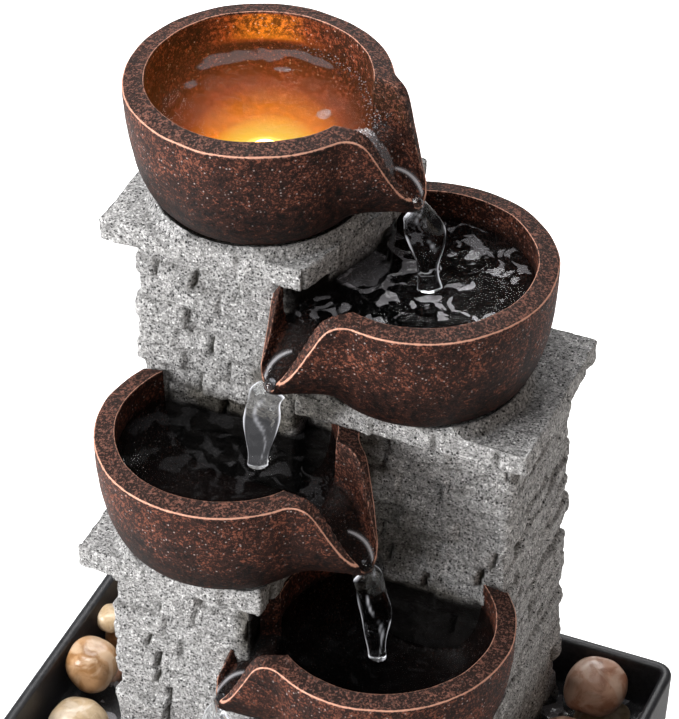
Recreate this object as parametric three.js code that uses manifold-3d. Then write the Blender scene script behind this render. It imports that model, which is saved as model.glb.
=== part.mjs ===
// Tabletop water fountain: a black tray, a stepped tower of four hollow stone columns,
// and four copper-brown bowls that pour into each other, with the pump and light inside.
// Millimetres, +Z up, origin at the bottom centre of the tray, front of the fountain at -Y.
import * as THREE from 'three';
import { mergeVertices } from 'three/addons/utils/BufferGeometryUtils.js';
import Module from 'manifold-3d';

const wasm = await Module();
wasm.setup();

// ---- driving dimensions -------------------------------------------------
const GAP = 0.3; // running gap between touching pieces

const TRAY = { width: 216, depth: 160, foot: 2, floor: 4, top: 33, wall: 4, corner: 7 };
const TRAY_BOTTOM = TRAY.foot + GAP;
const TRAY_FLOOR = TRAY_BOTTOM + TRAY.floor;
const FOOT = { radius: 8, insetX: 14, insetY: 14 };

const SLAB = { thick: 9.4 };
const COLUMN_WALL = 6;
const COLUMN_BOTTOM = TRAY_FLOOR + GAP;

// Outer faces of each column and of the slab on it, as [low x, low y, high x, high y].
const COLUMNS = {
  a: { top: 242.5, column: [-70, 2.9, -11, 70.4], slab: [-78.7, -5.8, -3.5, 70.4] },
  b: { top: 184.3, column: [-11, 8.8, 65.7, 70.4], slab: [-11, 0.1, 74.4, 70.4] },
  c: { top: 131, column: [-63.9, -36.4, -11, 2.9], slab: [-72.6, -45.1, -2.4, 2.9] },
  d: { top: 68.4, column: [-11, -45, 60, 8.8], slab: [-11, -54, 68.7, 8.8] },
};

// Column a spreads towards bowl 2 above the slab it stands behind, and its slab spreads with it.
const FLANK = {
  low: 184.6,
  column: [[-12, 4], [-11, 4], [2, 40], [2, 70.25], [-12, 70.25]],
  slab: [[-4.5, -5.65], [-3.65, -5.65], [9.7, 39.8], [9.7, 70.25], [-4.5, 70.25]],
};

const BOWL = {
  rim: 45, inner: 37.8, base: 26.6, floorRadius: 20, floor: 6, crown: 1.1, segments: 32,
};

// Each bowl's centre, the height of its rim, the way its spout points and the column it stands on.
const BOWLS = [
  { name: 'bowl_1', x: -34.8, y: 29.7, rimZ: 288.4, spout: -2, column: 'a' },
  { name: 'bowl_2', x: 24.8, y: 30.1, rimZ: 231.2, spout: -130, column: 'b' },
  { name: 'bowl_3', x: -27.9, y: -16.3, rimZ: 175.5, spout: -11, column: 'c' },
  { name: 'bowl_4', x: 32.5, y: -20, rimZ: 114, spout: -151, column: 'd' },
];

// Stations along a spout: r from the bowl's centre, half width, lip height and floor depth
// from the rim, for the outside of the chute and for the channel cut into it.
const CHUTE = [
  { r: 34, w: 18.5, lip: -0.4, deep: -24 },
  { r: 41, w: 18.5, lip: -0.6, deep: -28 },
  { r: 46, w: 17, lip: -3, deep: -33 },
  { r: 50, w: 14.5, lip: -12, deep: -36.5 },
  { r: 54, w: 10.8, lip: -22, deep: -38 },
  { r: 58.8, w: 7, lip: -31, deep: -38.5 },
];
const CHANNEL = [
  { r: 30, w: 15.5, lip: 4, deep: -18 },
  { r: 39, w: 14.5, lip: 4, deep: -18.5 },
  { r: 44.5, w: 13, lip: 2, deep: -21.5 },
  { r: 50, w: 10.4, lip: -3, deep: -27 },
  { r: 54, w: 7.8, lip: -10, deep: -31 },
  { r: 60.5, w: 4.4, lip: -16, deep: -36 },
];

const PUMP = {
  x: -40.5, y: 26, width: 34, depth: 30, height: 30, foot: 5, wellRadius: 8.2, chamberRadius: 13.5,
  chamber: 9, axisZ: 14, spigot: 3.2, spigotBore: 2.2, spigotHeight: 9,
};
const PUMP_BOTTOM = TRAY_FLOOR + PUMP.foot + GAP;
const PUMP_FRONT = PUMP.y + PUMP.depth / 2;
const ROTOR = { magnet: 6.6, length: 17, vaneRadius: 11.5, vanes: 6, vaneDepth: 5, shaft: 1 };
const STRAINER = { depth: 9, skin: 1.6, slots: 4 };
const DIAL = { radius: 6.5, thick: 3, knob: 2.6 };

const TUBE = { outer: 5.4, inner: 3.9, straight: 14 };
const OUTLET = { x: -31, y: 20.5, flange: 7.5, bore: 2.2, barrel: 3.2, hole: 3.6 };
const LAMP = { x: -36.8, y: 38, flange: 8.5, barrel: 6.2, lens: 5.4, nut: 8.5, lead: 1.2 };
const WIRING_HOLE = 19;

const DOOR = { width: 38, height: 40, low: 38, plug: 4, plate: 3, lip: 4, notch: 8 };
const GLAND = { radius: 4.2, height: 7, bore: 1.8 };

// Each pebble: centre x and y, three half sizes, its turn, and its height where it lies on others.
const PEBBLES = [
  [-93.6, 1, 9.9, 10.2, 9.6, 0, 26.2], [-96.6, 24, 5.6, 5.6, 5.2, 0, 28.8], [-89.5, -21.5, 12, 11.2, 9.6, -15],
  [-92, -45, 11, 8.5, 8, 40], [-90, 57, 12, 10, 9, 10], [82.4, 63.6, 12.4, 11.4, 10.2, -8, 26.8],
  [79.4, 42, 12, 9.6, 9.4, 10], [88, 19, 11, 10, 9, 70], [84, -10, 12.5, 9.5, 8.5, -35],
  [87, -39, 10, 11.5, 9, 15], [68, -66, 12, 7.6, 8.5, 5], [39, -65.5, 11.5, 8.5, 8, -8],
  [-38, -62, 12.5, 9.5, 9, 20], [-66, -63, 11, 10, 8.5, -30], [-92, -65, 9, 7.5, 7, 80],
  [-95, 13.3, 8, 7, 5.8, 0], [-94.5, 32, 8.6, 9, 8.6, 0], [86, 65.5, 11, 9, 4.5, 0],
];

// ---- colours ------------------------------------------------------------
const finish = (color, roughness, metalness = 0) => ({ color, roughness, metalness });
const COPPER_RESIN = finish(0x5a3226, 0.42, 0.35);
const STONE = finish(0xa6a5a1, 0.85);
const TRAY_BLACK = finish(0x17171a, 0.38);
const RUBBER = finish(0x1c1c1d, 0.85);
const PUMP_BLACK = finish(0x202124, 0.5);
const WHITE_PLASTIC = finish(0xd8d8d4, 0.45);
const CLEAR_TUBE = finish(0xdfe3e2, 0.2);
const LENS = finish(0xffb35a, 0.15);
const MAGNET = finish(0x3a3b3f, 0.4, 0.5);
const CERAMIC = finish(0xe6e2da, 0.3);
const PEBBLE_TONES = [0xb99c78, 0xb8a089, 0x9d7a66, 0xc2b08f].map((tone) => finish(tone, 0.3));

// ---- geometry helpers ---------------------------------------------------
const object = new THREE.Group();

function addPiece(name, geometry, { color, roughness, metalness }) {
  const mesh = new THREE.Mesh(geometry, new THREE.MeshStandardMaterial({ color, roughness, metalness }));
  mesh.name = name;
  object.add(mesh);
  return mesh;
}

function toSolid(geometry) {
  const bare = geometry.clone();
  bare.deleteAttribute('normal');
  bare.deleteAttribute('uv');
  const merged = mergeVertices(bare, 1e-4);
  return new wasm.Manifold(new wasm.Mesh({
    numProp: 3,
    vertProperties: merged.attributes.position.array,
    triVerts: new Uint32Array(merged.index.array),
  }));
}

function toGeometry(solid) {
  const mesh = solid.getMesh();
  const geometry = new THREE.BufferGeometry();
  geometry.setAttribute('position', new THREE.BufferAttribute(mesh.vertProperties, 3));
  geometry.setIndex(new THREE.BufferAttribute(mesh.triVerts, 1));
  return geometry;
}

const join = (...solids) => solids.reduce((sum, next) => sum.add(next));
const cut = (body, ...tools) => tools.reduce((left, tool) => left.subtract(tool), body);

// A box between two corners.
function block(low, high) {
  const size = high.map((value, i) => value - low[i]);
  const geometry = new THREE.BoxGeometry(...size);
  return geometry.translate(...low.map((value, i) => value + size[i] / 2));
}

// A turned piece about +Z from [radius, height] points that start and end on the axis.
function turned(points, segments = 24) {
  const profile = points.map(([radius, height]) => new THREE.Vector2(radius, height));
  return new THREE.LatheGeometry(profile, segments).rotateX(Math.PI / 2);
}

// A ring about +Z: the profile closes on itself, clear of the axis.
const ring = (points, segments) => turned([...points, points[0]], segments);

// A plain rod about +Z.
const rod = (radius, low, high, segments) => turned([[0, low], [radius, low], [radius, high], [0, high]], segments);

function roundedPlate(width, depth, radius, height) {
  const [w, d] = [width / 2, depth / 2];
  const shape = new THREE.Shape();
  shape.moveTo(-w + radius, -d);
  shape.lineTo(w - radius, -d);
  shape.absarc(w - radius, -d + radius, radius, -Math.PI / 2, 0);
  shape.absarc(w - radius, d - radius, radius, 0, Math.PI / 2);
  shape.absarc(-w + radius, d - radius, radius, Math.PI / 2, Math.PI);
  shape.absarc(-w + radius, -d + radius, radius, Math.PI, Math.PI * 1.5);
  return new THREE.ExtrudeGeometry(shape, { depth: height, bevelEnabled: false, curveSegments: 4 });
}

// A tube of the given radii that follows a smooth curve through points.
function hose(points, outer, inner, sides, steps) {
  const circle = (radius) => Array.from({ length: sides }, (_, i) => {
    const turn = (i / sides) * Math.PI * 2;
    return new THREE.Vector2(radius * Math.cos(turn), radius * Math.sin(turn));
  });
  const shape = new THREE.Shape(circle(outer));
  if (inner) shape.holes.push(new THREE.Path(circle(inner)));
  const extrudePath = new THREE.CatmullRomCurve3(points.map((p) => new THREE.Vector3(...p)));
  return new THREE.ExtrudeGeometry(shape, { steps, extrudePath, bevelEnabled: false });
}

// A closed loft through equal rings of points: sides as quads, ends as fans.
function loft(rings) {
  const count = rings[0].length;
  const index = [];
  for (let i = 0; i + 1 < rings.length; i += 1) {
    for (let j = 0; j < count; j += 1) {
      const [p, q] = [i * count + j, i * count + ((j + 1) % count)];
      index.push(p, q + count, q, p, p + count, q + count);
    }
  }
  const last = (rings.length - 1) * count;
  for (let j = 1; j + 1 < count; j += 1) {
    index.push(0, j, j + 1, last, last + j + 1, last + j);
  }
  const geometry = new THREE.BufferGeometry();
  geometry.setAttribute('position', new THREE.Float32BufferAttribute(rings.flat(2), 3));
  geometry.setIndex(index);
  return geometry;
}

// ---- tray and feet ------------------------------------------------------
function buildTray() {
  const outer = roundedPlate(TRAY.width, TRAY.depth, TRAY.corner, TRAY.top - TRAY_BOTTOM);
  const inside = roundedPlate(
    TRAY.width - 2 * TRAY.wall, TRAY.depth - 2 * TRAY.wall, TRAY.corner - TRAY.wall, TRAY.top,
  );
  outer.translate(0, 0, TRAY_BOTTOM);
  inside.translate(0, 0, TRAY_FLOOR);
  addPiece('basin_tray', toGeometry(cut(toSolid(outer), toSolid(inside))), TRAY_BLACK);
  let number = 1;
  for (const sideX of [-1, 1]) {
    for (const sideY of [-1, 1]) {
      const foot = addPiece(`basin_foot_${number}`, rod(FOOT.radius, 0, TRAY.foot, 16), RUBBER);
      foot.position.set(sideX * (TRAY.width / 2 - FOOT.insetX), sideY * (TRAY.depth / 2 - FOOT.insetY), 0);
      number += 1;
    }
  }
}

// ---- columns and slabs --------------------------------------------------
const grown = ([x0, y0, x1, y1], by) => [x0 - by, y0 - by, x1 + by, y1 + by];
const prism = ([x0, y0, x1, y1], low, high) => toSolid(block([x0, y0, low], [x1, y1, high]));
const slabBottom = (key) => COLUMNS[key].top - SLAB.thick;

// An upright solid over an outline of [x, y] points.
function upright(outline, low, high) {
  const shape = new THREE.Shape(outline.map(([x, y]) => new THREE.Vector2(x, y)));
  const depth = high - low;
  return toSolid(new THREE.ExtrudeGeometry(shape, { depth, bevelEnabled: false }).translate(0, 0, low));
}

// Half a gap is taken off every face, so neighbours stand one gap apart.
const shrink = (rect) => grown(rect, -GAP / 2);

function buildColumn(key) {
  const rect = shrink(COLUMNS[key].column);
  const high = slabBottom(key) - GAP;
  const shell = prism(rect, COLUMN_BOTTOM, high);
  const hollow = prism(grown(rect, -COLUMN_WALL), COLUMN_BOTTOM - 1, high + 1);
  const middle = (rect[0] + rect[2]) / 2;
  const slot = prism([middle - 9, rect[1] - 1, middle + 9, rect[3] + 1], COLUMN_BOTTOM - 1, COLUMN_BOTTOM + 7);
  const tools = [hollow, slot];
  if (key === 'a') {
    tools.push(prism([doorLeft(), rect[3] - COLUMN_WALL - 1, doorRight(), rect[3] + 1], doorLow(), doorHigh()));
  }
  const column = cut(shell, ...tools);
  return key === 'a' ? join(column, upright(FLANK.column, FLANK.low, high)) : column;
}

function buildSlab(key) {
  const rect = shrink(COLUMNS[key].slab);
  let slab = prism(rect, slabBottom(key), COLUMNS[key].top);
  if (key === 'a') {
    slab = join(slab, upright(FLANK.slab, slabBottom(key), COLUMNS[key].top));
    slab = cut(slab, toSolid(rod(WIRING_HOLE, slabBottom(key) - 1, COLUMNS[key].top + 1, 24)
      .translate(BOWLS[0].x, BOWLS[0].y, 0)));
  }
  for (const other of Object.keys(COLUMNS)) {
    if (COLUMNS[other].top > COLUMNS[key].top) slab = cut(slab, neighbour(other));
  }
  return slab;
}

// The space that a column and its slab fill, with the gap that its neighbours keep.
function neighbour(key) {
  const { column, slab, top } = COLUMNS[key];
  const space = join(
    prism(grown(column, GAP / 2), 0, top),
    prism(grown(slab, GAP / 2), slabBottom(key) - GAP, top + GAP),
  );
  if (key !== 'a') return space;
  const spread = FLANK.column.map(([x, y]) => [x + GAP, y - GAP]);
  return join(space, upright(spread, FLANK.low - GAP / 2, slabBottom(key)));
}

function buildStonework() {
  for (const key of Object.keys(COLUMNS)) {
    addPiece(`column_${key}`, toGeometry(buildColumn(key)), STONE);
    addPiece(`cap_slab_${key}`, toGeometry(buildSlab(key)), STONE);
  }
}

// ---- rear door ----------------------------------------------------------
const doorLeft = () => PUMP.x - DOOR.width / 2;
const doorRight = () => PUMP.x + DOOR.width / 2;
const doorLow = () => DOOR.low;
const doorHigh = () => DOOR.low + DOOR.height;

function buildDoor() {
  const back = COLUMNS.a.column[3];
  const plate = block(
    [doorLeft() - DOOR.lip, back + GAP / 2, doorLow() - DOOR.lip],
    [doorRight() + DOOR.lip, back + DOOR.plate, doorHigh() + DOOR.lip],
  );
  const plug = block(
    [doorLeft() + GAP, back - DOOR.plug, doorLow() + GAP],
    [doorRight() - GAP, back + 1, doorHigh() - GAP],
  );
  const grip = rod(6, back + 1, back + 6, 20).rotateX(-Math.PI / 2).translate(PUMP.x, 0, doorHigh() - 9);
  const half = DOOR.notch / 2;
  const cordNotch = block([PUMP.x - half, back - 9, 0], [PUMP.x + half, back + 9, doorLow() + half]);
  const door = cut(join(toSolid(plate), toSolid(plug)), toSolid(grip), toSolid(cordNotch));
  addPiece('pump_door', toGeometry(door), STONE);
}

// ---- bowls --------------------------------------------------------------
// The rings of a spout in its bowl's frame: a rounded V whose lips drop as it runs outwards.
function chuteRings(stations) {
  return stations.map(({ r, w, lip, deep }) => {
    const middle = lip + (deep - lip) * 0.62;
    const side = [[w, lip], [w * 0.93, middle], [w * 0.5, deep]];
    const mirrored = side.map(([y, z]) => [-y, z]).reverse();
    return [...side, ...mirrored].map(([y, z]) => [r, y, z]);
  });
}

// A quarter-round wall from the base up to the rim, as [radius, depth below the rim].
function wall(baseRadius, rimRadius, bottom, top, steps, fullness) {
  return Array.from({ length: steps + 1 }, (_, i) => {
    const turn = (i / steps) * (Math.PI / 2);
    const out = baseRadius + (rimRadius - baseRadius) * Math.sin(turn) ** fullness;
    return [out, top + (bottom - top) * Math.cos(turn)];
  });
}

function buildBowl({ name, x, y, rimZ, spout, column }) {
  const height = rimZ - COLUMNS[column].top - GAP;
  const { rim, inner, base, floorRadius, floor, crown, segments } = BOWL;
  const outside = turned([
    [0, -height], ...wall(base, rim, -height, -6, 6, 0.8), [rim, -1.5], [rim - 1.2, 0], [0, 0],
  ], segments);
  const crownRing = ring([[inner, -3], [rim - 1.2, -3], [rim - 1.2, 0], [inner, crown]], segments);
  const inside = turned([
    [0, -height + floor], ...wall(floorRadius, inner, -height + floor, -5, 5, 0.8), [inner, 4], [0, 4],
  ], segments);
  const body = join(toSolid(outside), toSolid(crownRing), toSolid(loft(chuteRings(CHUTE))));
  let bowl = cut(body, toSolid(inside), toSolid(loft(chuteRings(CHANNEL))));
  bowl = bowl.rotate([0, 0, spout]).translate([x, y, rimZ]);
  for (const key of Object.keys(COLUMNS)) bowl = cut(bowl, neighbour(key));
  if (name === 'bowl_1') {
    const drill = (part, radius) => toSolid(rod(radius, -60, -30, 20).translate(part.x, part.y, rimZ));
    bowl = cut(bowl, drill(OUTLET, OUTLET.hole), drill(LAMP, LAMP.barrel + GAP));
  }
  addPiece(name, toGeometry(bowl), COPPER_RESIN);
}

// ---- pump ---------------------------------------------------------------
// Pump pieces are modelled with the rotor's axis along +Z and turned so that it points to +Y.
const faceBack = (geometry) => geometry.rotateX(-Math.PI / 2)
  .translate(PUMP.x, PUMP_FRONT, PUMP_BOTTOM + PUMP.axisZ);

function buildPump() {
  const { x, width, depth, height } = PUMP;
  const [left, right, back] = [x - width / 2, x + width / 2, PUMP_FRONT - depth];
  const top = PUMP_BOTTOM + height;
  const body = toSolid(block([left, back, PUMP_BOTTOM], [right, PUMP_FRONT, top]));
  const spigotY = PUMP_FRONT - PUMP.chamber / 2;
  const spigot = toSolid(rod(PUMP.spigot, top - 2, top + PUMP.spigotHeight, 16).translate(x, spigotY, 0));
  const waterway = toSolid(rod(PUMP.spigotBore, PUMP_BOTTOM + PUMP.axisZ, top + PUMP.spigotHeight + 1, 16)
    .translate(x, spigotY, 0));
  const chamber = toSolid(faceBack(rod(PUMP.chamberRadius, -PUMP.chamber, 1, 28)));
  const well = toSolid(faceBack(rod(PUMP.wellRadius, -PUMP.chamber - ROTOR.length - 1.5, 1, 24)));
  addPiece('pump_housing', toGeometry(cut(join(body, spigot), chamber, well, waterway)), PUMP_BLACK);

  const shaftBase = -PUMP.chamber - ROTOR.length - 1.2;
  addPiece('impeller_shaft', faceBack(rod(ROTOR.shaft, shaftBase, -1, 12)), CERAMIC);

  const magnet = toSolid(rod(ROTOR.magnet, -PUMP.chamber - ROTOR.length, -PUMP.chamber + 0.5, 20));
  const vane = (i) => toSolid(block(
    [0, -0.8, -PUMP.chamber + 0.4],
    [ROTOR.vaneRadius, 0.8, -PUMP.chamber + 0.4 + ROTOR.vaneDepth],
  ).rotateZ((i * Math.PI * 2) / ROTOR.vanes));
  const vanes = Array.from({ length: ROTOR.vanes }, (_, i) => vane(i));
  const bore = toSolid(rod(ROTOR.shaft + GAP, -40, 1, 12));
  addPiece('impeller', faceBack(toGeometry(cut(join(magnet, ...vanes), bore))), MAGNET);

  buildStrainer();
  [[-1, -1], [1, -1], [-1, 1], [1, 1]].forEach(([sideX, sideY], i) => {
    const cup = addPiece(`pump_suction_cup_${i + 1}`, turned(
      [[0, 0], [6, 0], [5.2, 1.6], [2.4, 2.6], [2.4, PUMP.foot], [0, PUMP.foot]], 14,
    ), RUBBER);
    cup.position.set(x + sideX * 10.5, PUMP.y + sideY * 8, TRAY_FLOOR + GAP);
  });
  const gland = ring([
    [GLAND.bore, 0], [GLAND.radius, 0], [GLAND.radius, 2.5], [GLAND.radius * 0.7, GLAND.height],
    [GLAND.bore, GLAND.height],
  ], 14);
  addPiece('pump_cord_gland', gland, RUBBER).position.set(x + 9, back + 8, top + GAP);
}

// The strainer is a shallow slotted box that closes the pump's open end; the dial turns on it.
function buildStrainer() {
  const { x, width, height } = PUMP;
  const [low, high] = [PUMP_BOTTOM, PUMP_BOTTOM + height];
  const y0 = PUMP_FRONT + GAP;
  const y1 = y0 + STRAINER.depth;
  const shell = toSolid(block([x - width / 2, y0, low], [x + width / 2, y1, high]));
  const hollow = toSolid(block(
    [x - width / 2 + STRAINER.skin, y0 - 1, low + STRAINER.skin],
    [x + width / 2 - STRAINER.skin, y1 - STRAINER.skin, high - STRAINER.skin],
  ));
  const slots = Array.from({ length: STRAINER.slots }, (_, i) => {
    const slotX = x + (i - (STRAINER.slots - 1) / 2) * 7.5;
    return toSolid(block([slotX - 1.2, y0 + 3, low + 2.6], [slotX + 1.2, y1 + 1, low + 12]));
  });
  addPiece('pump_strainer', toGeometry(cut(shell, hollow, ...slots)), PUMP_BLACK);
  const knob = toSolid(block([-DIAL.radius + 1, -0.9, DIAL.thick - 0.5], [DIAL.radius - 1, 0.9, DIAL.thick + DIAL.knob]));
  const dial = toGeometry(join(toSolid(rod(DIAL.radius, 0, DIAL.thick, 20)), knob));
  dial.rotateX(-Math.PI / 2).translate(x, y1 + GAP, low + 21);
  addPiece('flow_dial', dial, WHITE_PLASTIC);
}

// ---- supply tube, outlet, lamp ------------------------------------------
const BOWL_SEAT = COLUMNS.a.top + GAP; // underside of the top bowl
const BOWL_FLOOR = BOWL_SEAT + BOWL.floor; // its inner floor

function buildSupply() {
  const spigotY = PUMP_FRONT - PUMP.chamber / 2;
  const low = PUMP_BOTTOM + PUMP.height + GAP;
  const high = BOWL_SEAT - 1;
  const rise = high - low;
  const path = [
    [PUMP.x, spigotY, low],
    [PUMP.x, spigotY, low + TUBE.straight],
    [(PUMP.x + OUTLET.x) / 2, (spigotY + OUTLET.y) / 2, low + rise / 2],
    [OUTLET.x, OUTLET.y, high - TUBE.straight],
    [OUTLET.x, OUTLET.y, high],
  ];
  addPiece('supply_tube', hose(path, TUBE.outer, TUBE.inner, 10, 14), CLEAR_TUBE);

  const { flange, bore, barrel } = OUTLET;
  addPiece('outlet_nozzle', ring([
    [bore, BOWL_SEAT - 12], [barrel, BOWL_SEAT - 12], [barrel, BOWL_FLOOR + 1.4], [flange, BOWL_FLOOR + 1.4],
    [flange, BOWL_FLOOR + 3], [4, BOWL_FLOOR + 5], [bore, BOWL_FLOOR + 5],
  ], 20), PUMP_BLACK).position.set(OUTLET.x, OUTLET.y, 0);
  addPiece('outlet_gasket', ring([
    [barrel + GAP, BOWL_FLOOR + GAP], [flange, BOWL_FLOOR + GAP], [flange, BOWL_FLOOR + 1.1], [barrel + GAP, BOWL_FLOOR + 1.1],
  ], 20), RUBBER).position.set(OUTLET.x, OUTLET.y, 0);
}

function buildLamp() {
  const { x, y, flange, barrel, lens, nut, lead } = LAMP;
  const flangeLow = BOWL_FLOOR + 1.4;
  addPiece('lamp_housing', ring([
    [lead + GAP, BOWL_SEAT - 9], [barrel, BOWL_SEAT - 9], [barrel, flangeLow], [flange, flangeLow],
    [flange, flangeLow + 2.4], [lens + GAP, flangeLow + 2.4], [lens + GAP, flangeLow - 1], [lead + GAP, flangeLow - 1],
  ], 24), PUMP_BLACK).position.set(x, y, 0);
  addPiece('lamp_lens', turned([
    [0, 0], [lens, 0], [lens, 3.2], [lens * 0.8, 5], [lens * 0.4, 6], [0, 6.3],
  ], 20), LENS).position.set(x, y, flangeLow - 1 + GAP);
  addPiece('lamp_gasket', ring([
    [barrel + GAP, BOWL_FLOOR + GAP], [flange, BOWL_FLOOR + GAP], [flange, BOWL_FLOOR + 1.1], [barrel + GAP, BOWL_FLOOR + 1.1],
  ], 24), RUBBER).position.set(x, y, 0);
  const hexagon = toSolid(rod(nut, BOWL_SEAT - 5, BOWL_SEAT - GAP, 6));
  const nutBore = toSolid(rod(barrel + GAP, BOWL_SEAT - 6, BOWL_SEAT, 24));
  addPiece('lamp_nut', toGeometry(cut(hexagon, nutBore)), WHITE_PLASTIC).position.set(x, y, 0);
  const plugTop = 92;
  const hang = [COLUMNS.a.column[0] + COLUMN_WALL + 5, COLUMNS.a.column[3] - COLUMN_WALL - 5];
  const path = [
    [x, y, BOWL_SEAT - 9 - GAP], [x, y, BOWL_SEAT - 22], [hang[0] + 8, hang[1] - 6, BOWL_SEAT - 60],
    [...hang, plugTop + 60], [...hang, plugTop + GAP],
  ];
  addPiece('lamp_lead', hose(path, lead, 0, 8, 24), PUMP_BLACK);
  const plug = toSolid(rod(3.4, plugTop - 24, plugTop, 14));
  const collar = toSolid(rod(4.2, plugTop - 16, plugTop - 12, 14));
  addPiece('lamp_connector', toGeometry(join(plug, collar)), PUMP_BLACK).position.set(...hang, 0);
}

// ---- pebbles ------------------------------------------------------------
function buildPebbles() {
  PEBBLES.forEach(([x, y, a, b, c, turn, z], i) => {
    const pebble = new THREE.SphereGeometry(1, 9, 6).scale(a, b, c);
    const mesh = addPiece(`pebble_${String(i + 1).padStart(2, '0')}`, pebble, PEBBLE_TONES[i % PEBBLE_TONES.length]);
    mesh.rotation.z = (turn * Math.PI) / 180;
    mesh.position.set(x, y, z ?? TRAY_FLOOR + GAP + c);
  });
}

buildTray();
buildStonework();
buildDoor();
BOWLS.forEach(buildBowl);
buildPump();
buildSupply();
buildLamp();
buildPebbles();

export default object;
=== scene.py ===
import math

import bmesh
import bpy
import numpy as np
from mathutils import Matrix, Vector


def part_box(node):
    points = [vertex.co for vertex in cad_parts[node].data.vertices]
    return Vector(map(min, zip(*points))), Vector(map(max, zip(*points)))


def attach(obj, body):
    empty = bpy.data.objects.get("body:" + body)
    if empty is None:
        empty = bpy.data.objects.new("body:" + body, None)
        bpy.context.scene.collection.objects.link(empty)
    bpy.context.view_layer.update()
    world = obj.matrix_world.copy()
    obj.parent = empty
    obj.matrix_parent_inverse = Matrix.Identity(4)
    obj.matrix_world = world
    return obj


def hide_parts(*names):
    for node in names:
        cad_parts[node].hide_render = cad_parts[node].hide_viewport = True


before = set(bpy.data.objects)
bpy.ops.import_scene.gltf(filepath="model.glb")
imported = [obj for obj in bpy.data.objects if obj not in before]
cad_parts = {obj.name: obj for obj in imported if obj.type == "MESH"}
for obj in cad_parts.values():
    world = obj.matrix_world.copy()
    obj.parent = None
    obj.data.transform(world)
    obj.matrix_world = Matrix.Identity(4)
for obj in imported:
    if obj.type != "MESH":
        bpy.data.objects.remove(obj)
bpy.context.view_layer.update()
mm = 0.001
tiny = 1e-7  # metres: points closer than this are one
print("frame loaded:", len(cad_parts), "nodes")


# ---- numbers on grids ----

# 0 below low, 1 above high, and between them three t squared less two t cubed
def smoothStep(low, high, x):
    t = np.clip((x - low) / (high - low), 0, 1)
    return t * t * (3 - 2 * t)


# a bell of height 1 round zero: e to the minus square of x over its width
def bell(x, width):
    return np.exp(-(x / width) ** 2)


# value noise in -1..1: random numbers on a cubic lattice of the given cell, blended by s-curves
def noise(p, cell, seed=0):
    q = np.asarray(p, float) / cell + 1000.0
    base = np.floor(q).astype(np.int64)
    f = q - base
    f = f * f * (3 - 2 * f)
    total = 0.0
    for corner in range(8):
        off = np.array([corner & 1, corner >> 1 & 1, corner >> 2 & 1])
        n = base + off
        h = (n[..., 0] * 73856093) ^ (n[..., 1] * 19349663) ^ (n[..., 2] * 83492791) ^ (seed * 2654435)
        h = (h ^ (h >> 13)) * 1274126177 & 0x7FFFFFFF
        h = (h ^ (h >> 16)) & 0xFFFF
        weight = np.prod(np.where(off == 1, f, 1 - f), axis=-1)
        total = total + weight * (h / 32767.5 - 1)
    return total


# the sum of octaves of value noise, each half as large and half as strong as the one before
def fractal(p, cell, octaves=3, seed=0):
    return sum(noise(p, cell / 2 ** k, seed + k) / 2 ** k for k in range(octaves))


# ---- meshes from grids ----

# points of a grid of x and y with one height, or a height for each
def withHeight(xy, z):
    return np.concatenate([xy, np.broadcast_to(z, xy.shape[:-1])[..., None]], -1)


def addObject(name, data):
    thing = bpy.data.objects.new(name, data)
    bpy.context.scene.collection.objects.link(thing)
    return thing


# a mesh from rows of points in millimetres. Each row is a closed ring; the first and last rows are either
# joined to each other (loop) or each closed by one pole point at their mean
def ringMesh(name, rows, loop=False, values=None):
    count, around = rows.shape[:2]
    index = np.arange(count * around).reshape(count, around)
    nextAround = np.roll(index, -1, axis=1)
    if loop:
        low, lowNext = index, nextAround
        high, highNext = np.roll(index, -1, axis=0), np.roll(nextAround, -1, axis=0)
    else:
        low, lowNext, high, highNext = index[:-1], nextAround[:-1], index[1:], nextAround[1:]
    faces = np.stack([low, lowNext, highNext, high], -1).reshape(-1, 4).tolist()
    points = rows.reshape(-1, 3)
    if not loop:
        poles = np.stack([rows[0].mean(0), rows[-1].mean(0)])
        points = np.vstack([points, poles])
        first, last = len(points) - 2, len(points) - 1
        faces += [[first, b, a] for a, b in zip(index[0].tolist(), nextAround[0].tolist())]
        faces += [[last, a, b] for a, b in zip(index[-1].tolist(), nextAround[-1].tolist())]
    mesh = bpy.data.meshes.new(name)
    mesh.from_pydata((points * mm).tolist(), [], faces)
    for key, grid in (values or {}).items():
        flat = np.asarray(grid, float).reshape(-1)
        if not loop:
            flat = np.append(flat, [np.mean(grid[0]), np.mean(grid[-1])])
        mesh.attributes.new(key, "FLOAT", "POINT").data.foreach_set("value", flat.astype(np.float32))
    return finishMesh(name, mesh)


# puts a mesh into the scene, smooth, with its doubles merged and its faces outwards
def finishMesh(name, mesh):
    mesh.update()
    mesh.shade_smooth()
    piece = addObject(name, mesh)
    bm = bmesh.new()
    bm.from_mesh(mesh)
    bmesh.ops.remove_doubles(bm, verts=bm.verts, dist=tiny)
    bmesh.ops.recalc_face_normals(bm, faces=bm.faces)
    bm.to_mesh(mesh)
    bm.free()
    return piece


# a profile of (radius, height) points turned about an upright axis
def turned(name, profile, centre, around=48):
    profile = np.array(profile, float)
    turn = np.linspace(0, 2 * np.pi, around, endpoint=False)
    rows = np.stack([
        centre[0] + profile[:, :1] * np.cos(turn), centre[1] + profile[:, :1] * np.sin(turn),
        centre[2] + profile[:, 1:] + 0 * turn], -1)
    return ringMesh(name, rows)


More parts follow.
